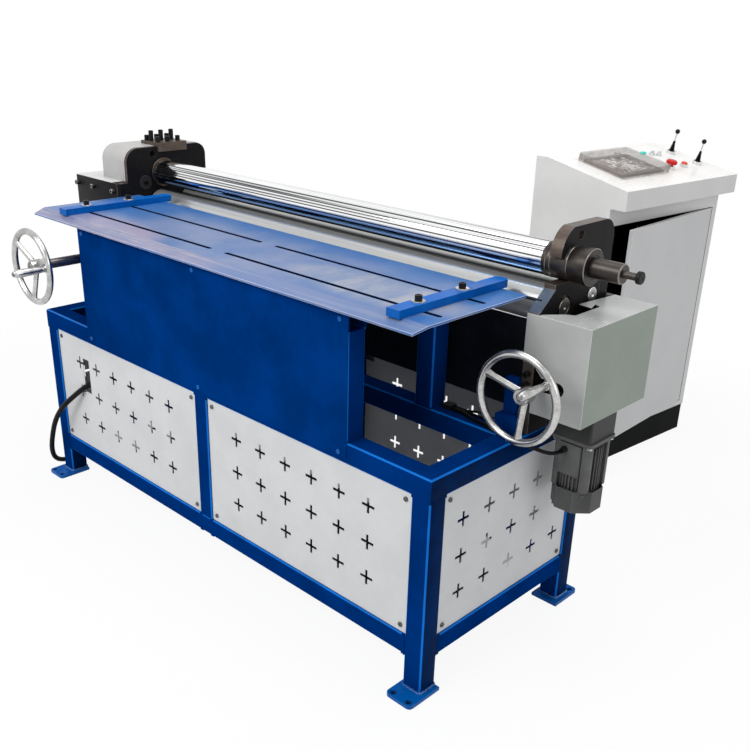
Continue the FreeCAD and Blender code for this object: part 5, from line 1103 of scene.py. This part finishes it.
def rim(bm, centre):
    loops = []
    for c, s in circle(96):
        out = Vector((c, 0, s))
        loops.append([bm.verts.new(centre + (out * (rim_radius + rim_thick * a)
                                             + Y * (rim_thick * b)) / 1000)
                      for a, b in circle(20)])
    skin(bm, loops, True)


def handwheel(side, x, y, z, dish, spokes, crank, shaft, shaft_end):
    bm = bmesh.new()
    centre, hub, end = mm(x, y, z), mm(x, y + dish, z), shaft_end - y - dish
    rim(bm, centre)
    for k in range(3):
        a = math.radians(spokes + 120 * k)
        out = Vector((math.cos(a), 0, math.sin(a)))
        oval_spoke(bm, hub + out * 0.012, centre + out * 0.104)
    a = math.radians(crank)
    pin_x, pin_z = x + crank_radius * math.cos(a), z + crank_radius * math.sin(a)
    foot = mm(pin_x, y, pin_z)
    for steps, finish, base, outline in (
            (48, 0, hub, [(-20, shaft + 0.2), (-20, 18.5), (-17.5, 21), (-8, 21), (14, 21),
                          (20, 19.5), (20, 12)]),
            (40, 1, hub, [(-20.5, 0), (-20.5, 3.6), (-23, 3.6), (-23, shaft - 2),
                          (-21.5, shaft), (end, shaft), (end, 0)]),
            (24, 2, hub, [(-21, 0), (-21, 3.5), (-20.6, 3.5)]),
            (28, 1, foot, [(-111, 0), (-111, 5.4), (-110, 7), (-108, 7), (-108, 5), (-10, 5)]),
            (36, 0, foot, [(-10, 5), (-10, 9.6), (-8.4, 11), (3, 11), (5, 8)])):
        turned(bm, outline, base, Y, steps, finish=finish)
    placed(f"handwheel_{side}_cast", bm, looks("cast_bright gear_steel screw_black"),
           f"{side}_wheel", f"handwheel_{side}", fix=True)
    grip = [(0, 5.4), (0, 7.6), (1.2, 8.8), (4, 9.2), (6, 8.6), (9, 9.3), (20, 10.2), (34, 11.0),
            (52, 11.9), (68, 12.5), (80, 12.2), (88, 11.4), (93, 10.4), (96, 9.2), (97.2, 7.6),
            (97.2, 5.4)]
    turned_piece(f"crank_grip_{side}", f"crank_handle_{side}", f"{side}_crank", "cast_bright",
                 "cast_bright", mm(pin_x, y - 10.4, pin_z), -Y, (48, grip), loop=True)


handwheel("right", 1805, 265, 762, 30, 36, 36, 10, 625)
handwheel("left", 246, -150, 845, 14, 24, 8, 15, 640)

# %% [markdown]
# The console's controls stand on its sloping desk. The desk has its own frame: along the desk, up
# its slope, and out of its face. One function turns a place on the desk into a place in the scene,
# and the buttons and levers are turned shapes that stand along the desk's own direction.


# %% Desk controls
def desk(u, w, h):
    v = desk_v + w * math.cos(slope) - h * math.sin(slope)
    return mm(console_x + u * math.cos(console_turn) - v * math.sin(console_turn),
              console_y + u * math.sin(console_turn) + v * math.cos(console_turn),
              desk_z + w * math.sin(slope) + h * math.cos(slope))


def joystick(side, u, w):
    boot = [(0.3, 0), (1.5, 5), (5, 9.2), (10.3, 10), (13, 9.8)]
    for k in range(6):
        low, r = 14 + 5 * k, 9.6 - 0.85 * k
        boot += [(low, r - 1.6), (low + 1.6, r), (low + 3.4, r)]
    boot += [(46, 4.6), (49, 3.6), (50, 3.0)]
    stem = [(49, 3.0), (77, 3.0), (77, 4.2), (80, 4.2)]
    ball = [(76.4, 0), (76.4, 3)]
    for k in range(2, 12):
        a = math.radians(-90 + 15 * k)
        ball.append((85.3 + 9 * math.sin(a), 9 * math.cos(a)))
    turned_piece(f"joystick_{side}_boot", f"joystick_{side}", f"lever_{side}", "black_rubber",
                 "cable_rubber bezel_silver knob_black", desk(u, w, 0), up, (40, boot), (24, stem),
                 (36, ball + [(94.3, 0)]))


up = (desk(0, 0, 10) - desk(0, 0, 0)).normalized()
joystick("left", 616, 255)
joystick("right", 613, 133)
turned_piece("stop_button_moulded", "stop_button", "stop", "stop_red", "stop_red",
             desk(424, 126, 0), up,
             (56, [(5.3, 0), (5.3, 9), (19, 9), (19, 18), (19.6, 19.4), (21.5, 20), (27, 20),
                   (30, 18.6), (32, 15.5), (33, 10), (32.8, 5), (32.6, 0)]))
turned_piece("push_button_moulded", "push_button", "push", "push_orange", "push_orange",
             desk(513, 126, 0), up,
             (48, [(4.3, 0), (4.3, 11), (16.6, 11), (17.6, 10.4), (18, 9.2), (17.2, 7.4),
                   (17.0, 0)]))
glass = bmesh.new()
block(glass, (127, 127, 7.3), (339, 265, 8.2), 0.3, place=desk)
placed("screen_glass_plate", glass, looks("dark_screen"), "frame")

# %% [markdown]
# Screws repeat all over the machine: small pan heads on the panels and the cover, socket cap screws
# on the plates and the guide bars. They are the same shape with other sizes, so a geometry node tree
# draws one screw from named sizes and puts a copy on every point of a small mesh, turned to the
# direction that is stored with the point.

# %% Screw tree
cap = {"Head radius": 0.0085, "Head height": 0.012, "Edge": 0.0009, "Socket radius": 0.0048,
       "Socket depth": 0.006, "Sides": 24, "Socket sides": 6, "Finish": "screw_black"}
pan = {"Head radius": 0.0066, "Head height": 0.0038, "Edge": 0.0008, "Socket radius": 0.0028,
       "Socket depth": 0.0016, "Sides": 16, "Socket sides": 4, "Finish": "screw_panel"}


def tree_with(name, values):
    tree = bpy.data.node_groups.new(name, "GeometryNodeTree")
    kinds = {float: "NodeSocketFloat", int: "NodeSocketInt", str: "NodeSocketMaterial"}
    for way in ("INPUT", "OUTPUT"):
        tree.interface.new_socket("Geometry", in_out=way, socket_type="NodeSocketGeometry")
    for label, value in values.items():
        tree.interface.new_socket(label, in_out="INPUT", socket_type=kinds[type(value)])
    net = Net(tree)
    return net, {s.name: Value(net, s) for s in tree.nodes.new("NodeGroupInput").outputs}


def copied(net, given, values):
    copies = net.node("GeometryNodeInstanceOnPoints", values)
    real = net.node("GeometryNodeRealizeInstances", [copies])
    net.end("NodeGroupOutput", net.node("GeometryNodeSetMaterial", {
        "Geometry": real, "Material": given["Finish"]}))
    print(net.tree.name, "has", len(net.tree.nodes), "nodes")
    return net.tree


def screw_tree():
    net, given = tree_with("screw_heads", cap)
    radius, height, edge = given["Head radius"], given["Head height"], given["Edge"]

    def prism(sides, radius, depth):
        return net.node("GeometryNodeMeshCone", {
            "Vertices": sides, "Radius Top": radius, "Radius Bottom": radius, "Depth": depth},
            fill_type="NGON")

    head = prism(given["Sides"], radius, height - edge)
    raised = net.node("GeometryNodeExtrudeMesh", {
        "Mesh": head, "Selection": head.also("Top"), "Offset Scale": edge}, mode="FACES")
    topped = net.node("GeometryNodeScaleElements", {
        "Geometry": raised, "Selection": raised.also("Top"), "Scale": 1.0 - edge / radius},
        domain="FACE")
    socket = prism(given["Socket sides"], given["Socket radius"], given["Socket depth"] * 2.0)
    rise = net.node("ShaderNodeCombineXYZ", {"Z": height - given["Socket depth"]})
    lifted = net.node("GeometryNodeTransform", {"Geometry": socket, "Translation": rise})
    cut = net.node("GeometryNodeMeshBoolean", {"Mesh 1": topped, "Mesh 2": lifted},
                   operation="DIFFERENCE")
    facing = net.node("GeometryNodeInputNamedAttribute", {"Name": "facing"}, "Attribute",
                      data_type="FLOAT_VECTOR")
    rotation = net.node("FunctionNodeAlignRotationToVector", {"Vector": facing}, axis="Z")
    return copied(net, given, {"Points": given["Geometry"], "Instance": cut,
                               "Rotation": rotation})


def grown(name, tree, mesh, values, smooth=30):
    work = added(name + "_work", mesh)
    modifier = work.modifiers.new("grow", "NODES")
    modifier.node_group = tree
    for item in tree.interface.items_tree:
        if item.in_out == "INPUT" and item.name in values:
            value = values[item.name]
            modifier[item.identifier] = finishes[value] if item.name == "Finish" else value
    work.update_tag()
    made = applied(work)
    bpy.data.objects.remove(work)
    made.name = name
    smoothed(made, smooth)
    return made


def heads(name, places, kind=cap, **changes):
    mesh = bpy.data.meshes.new(name + "_points")
    mesh.from_pydata([p for p, d in places], [], [])
    facing = mesh.attributes.new("facing", "FLOAT_VECTOR", "POINT")
    facing.data.foreach_set("vector", [c for p, d in places for c in d])
    changes = {key.replace("_", " ").capitalize(): value for key, value in changes.items()}
    return grown(name, screws, mesh, {**kind, **changes})


def settle(name, meshes, body, replaces=""):
    bm = bmesh.new()
    materials = []
    for mesh in meshes:
        start = len(bm.faces)
        material = mesh.materials[mesh.polygons[0].material_index]
        bm.from_mesh(mesh)
        bm.faces.ensure_lookup_table()
        if material not in materials:
            materials.append(material)
        for face in bm.faces[start:]:
            face.material_index = materials.index(material)
    placed(name, bm, materials, body, replaces, smooth=30)


screws = screw_tree()

# %% [markdown]
# The places of the screws follow the drawings: twenty millimetres in from each corner of the six
# panels, two rows of three on the front cover, three along the gear case, two on the right plate's
# edge, nine on the clamp plate of which three stand taller, and one in the middle of a disc. Each
# guide bar has two clamp screws with washers, shanks through the table's slots and nuts below. The
# motor has four screws on its face, and its fan cover four small ones.

# %% Screw places
slot_rows, panel_rows = (90, 248), (183, 543)
panel_places = []
for x in (80, 837, 937, 1694):
    for z in panel_rows:
        panel_places += [(mm(x, 6, z), -Y), (mm(x, 666, z), Y)]
for y in (80, 592):
    for z in panel_rows:
        panel_places += [(mm(1768, y, z), X), (mm(6, y, z), -X)]
cover_places = [(mm(x, -2, z), -Y) for x in (303, 887, 1471) for z in (592, 938)]
settle("panel_screw_heads", [heads("panel_heads", panel_places, pan),
                             heads("cover_heads", cover_places, pan, finish="foot_blue")],
       "frame")

clamp_rows = [473 + 122 * share for share in (0.12, 0.46, 0.82)]
settle("cap_screw_heads", [
    heads("caps", [(mm(1757.5, 371, z), -Y) for z in (756, 784)]),
    heads("tie_heads", [(mm(x, 300, 996), -Y) for x in (-228.5, -123, 8)], finish="screw_dull"),
    heads("low_heads", [(mm(x, y, 1150), Z) for x in (21, -48) for y in clamp_rows],
          head_height=0.018),
    heads("tall_caps", [(mm(-19.5, y, 1150), Z) for y in clamp_rows], head_height=0.036),
    heads("disc", [(mm(33, 417, 1017), X)], head_radius=0.025, head_height=0.003, edge=0.0006,
          sides=48, socket_radius=0.0075, socket_depth=0.001, socket_sides=24,
          finish="disc_steel"),
    heads("disc_cap", [(mm(36, 417, 1017), X)], head_height=0.006, socket_depth=0.004),
], "frame", "cap_screws")


def guide_screws(side, x):
    def row(z, way=Z):
        return [(mm(x, y, z), way) for y in slot_rows]

    settle(f"guide_screws_{side}", [
        heads("tops", row(1000.2), head_radius=0.009, head_height=0.013),
        heads("rings", row(997.2), head_radius=0.017, head_height=0.003, edge=0.0006, sides=40,
              socket_radius=0.006, socket_depth=0.0008, socket_sides=24, finish="screw_bright"),
        heads("nuts", row(970.8, -Z), head_radius=0.011, head_height=0.009, edge=0.0006, sides=6,
              socket_radius=0.0065, socket_depth=0.0005, socket_sides=16,
              finish="screw_bright"),
        heads("shanks", row(959.8), head_radius=0.006, head_height=0.0405, edge=0.0005, sides=16,
              socket_radius=0.001, socket_depth=0.0004, finish="screw_bright"),
    ], f"guide_{side}", f"guide_clamps_{side}")


guide_screws("left", 186)
guide_screws("right", 1631)

motor_x, motor_y = 1863, 496
motor_places = [(mm(motor_x + dx, motor_y + dy, 611), -Z) for dx in (-50, 50) for dy in (-50, 50)]
fan_places = []
for k in range(4):
    a = math.radians(90 * k + 45)
    fan_places.append((mm(motor_x + 61 * math.cos(a), motor_y + 61 * math.sin(a), 466),
                       Vector((math.cos(a), math.sin(a), 0))))
settle("motor_screw_heads", [
    heads("motor_heads", motor_places, head_radius=0.0075, head_height=0.007, sides=6,
          finish="screw_bright"),
    heads("fan_heads", fan_places, pan, head_radius=0.0045, head_height=0.0026, edge=0.0010,
          socket_radius=0.0018),
], "frame")

# %% [markdown]
# The stand is welded, and on the feet the weld was left bright and rough. A weld bead is a row of
# small overlapping drops along the joint. A second tree places drops along the lines of a mesh, at
# a named spacing and size, with a fixed seed for their unevenness.

# %% Weld tree
foot_bead = {"Spacing": 0.0040, "Drop": 0.0046, "Seed": 4, "Finish": "weld_blue"}
joint_bead = {"Spacing": 0.003, "Drop": 0.0022, "Seed": 9, "Finish": "stand_blue"}


def weld_tree():
    net, given = tree_with("weld_beads", foot_bead)
    line = net.node("GeometryNodeMeshToCurve", {"Mesh": given["Geometry"]})
    spots = net.node("GeometryNodeResampleCurve", {"Curve": line, "Length": given["Spacing"]},
                     mode="LENGTH")
    drop = net.node("GeometryNodeMeshUVSphere", {"Segments": 8, "Rings": 5,
                                                 "Radius": given["Drop"]})
    uneven = net.node("FunctionNodeRandomValue", {
        0: (0.8, 0.8, 0.7), 1: (1.25, 1.25, 1.2), "Seed": given["Seed"]},
        data_type="FLOAT_VECTOR")
    return copied(net, given, {"Points": spots, "Instance": drop, "Scale": uneven})


def beads(name, lines, values):
    points, edges = [], []
    for line in lines:
        start = len(points)
        points += [mm(*p) for p in line]
        edges += [(start + k, start + k + 1) for k in range(len(line) - 1)]
    mesh = bpy.data.meshes.new(name + "_lines")
    mesh.from_pydata(points, edges, [])
    return grown(name, welds, mesh, values, 60)


def square_line(x0, y0, z, r=5):
    x1, y1 = x0 + 60, y0 + 60
    return [(x0 + r, y0, z), (x1 - r, y0, z), (x1, y0 + r, z), (x1, y1 - r, z), (x1 - r, y1, z),
            (x0 + r, y1, z), (x0, y1 - r, z), (x0, y0 + r, z), (x0 + r, y0, z)]


welds = weld_tree()
foot_lines = [square_line(x, y, 11) for x in post_x for y in post_y]
joint_lines = [square_line(x, y, 624) for y in (0, beam_y) for x in (277, 1437)]
joint_lines += [[(x, y, 104), (x, y, 162)] for x in (60, 1714) for y in (0, 672)]
settle("weld_beads", [beads("foot_beads", foot_lines, foot_bead),
                      beads("joint_beads", joint_lines, joint_bead)], "frame")

# %% [markdown]
# Some solids already have the right shape and stay as they are, such as the perforated panels and
# the gears inside the case. They only need their finish, which goes into their own material slot.

# %% Finishes on the solids that stay
stays = {
    "white_panel": "front_panels side_panels back_panels", "screw_panel": "panel_fixings",
    "gear_steel": "front_roll_gear top_roll_gear idler_gear drive_shaft cross_shaft",
    "black_plastic": "motor_fan", "plate_steel": "lift_housings rear_roll_blocks",
}
for finish, names in stays.items():
    for name in names.split():
        for held in nodes[name].material_slots:
            held.material = finishes[finish]
dressed = " ".join(stays.values()).split()
print("nodes without a finish:", [n for n, o in nodes.items()
                                  if not o.hide_render and n not in dressed])
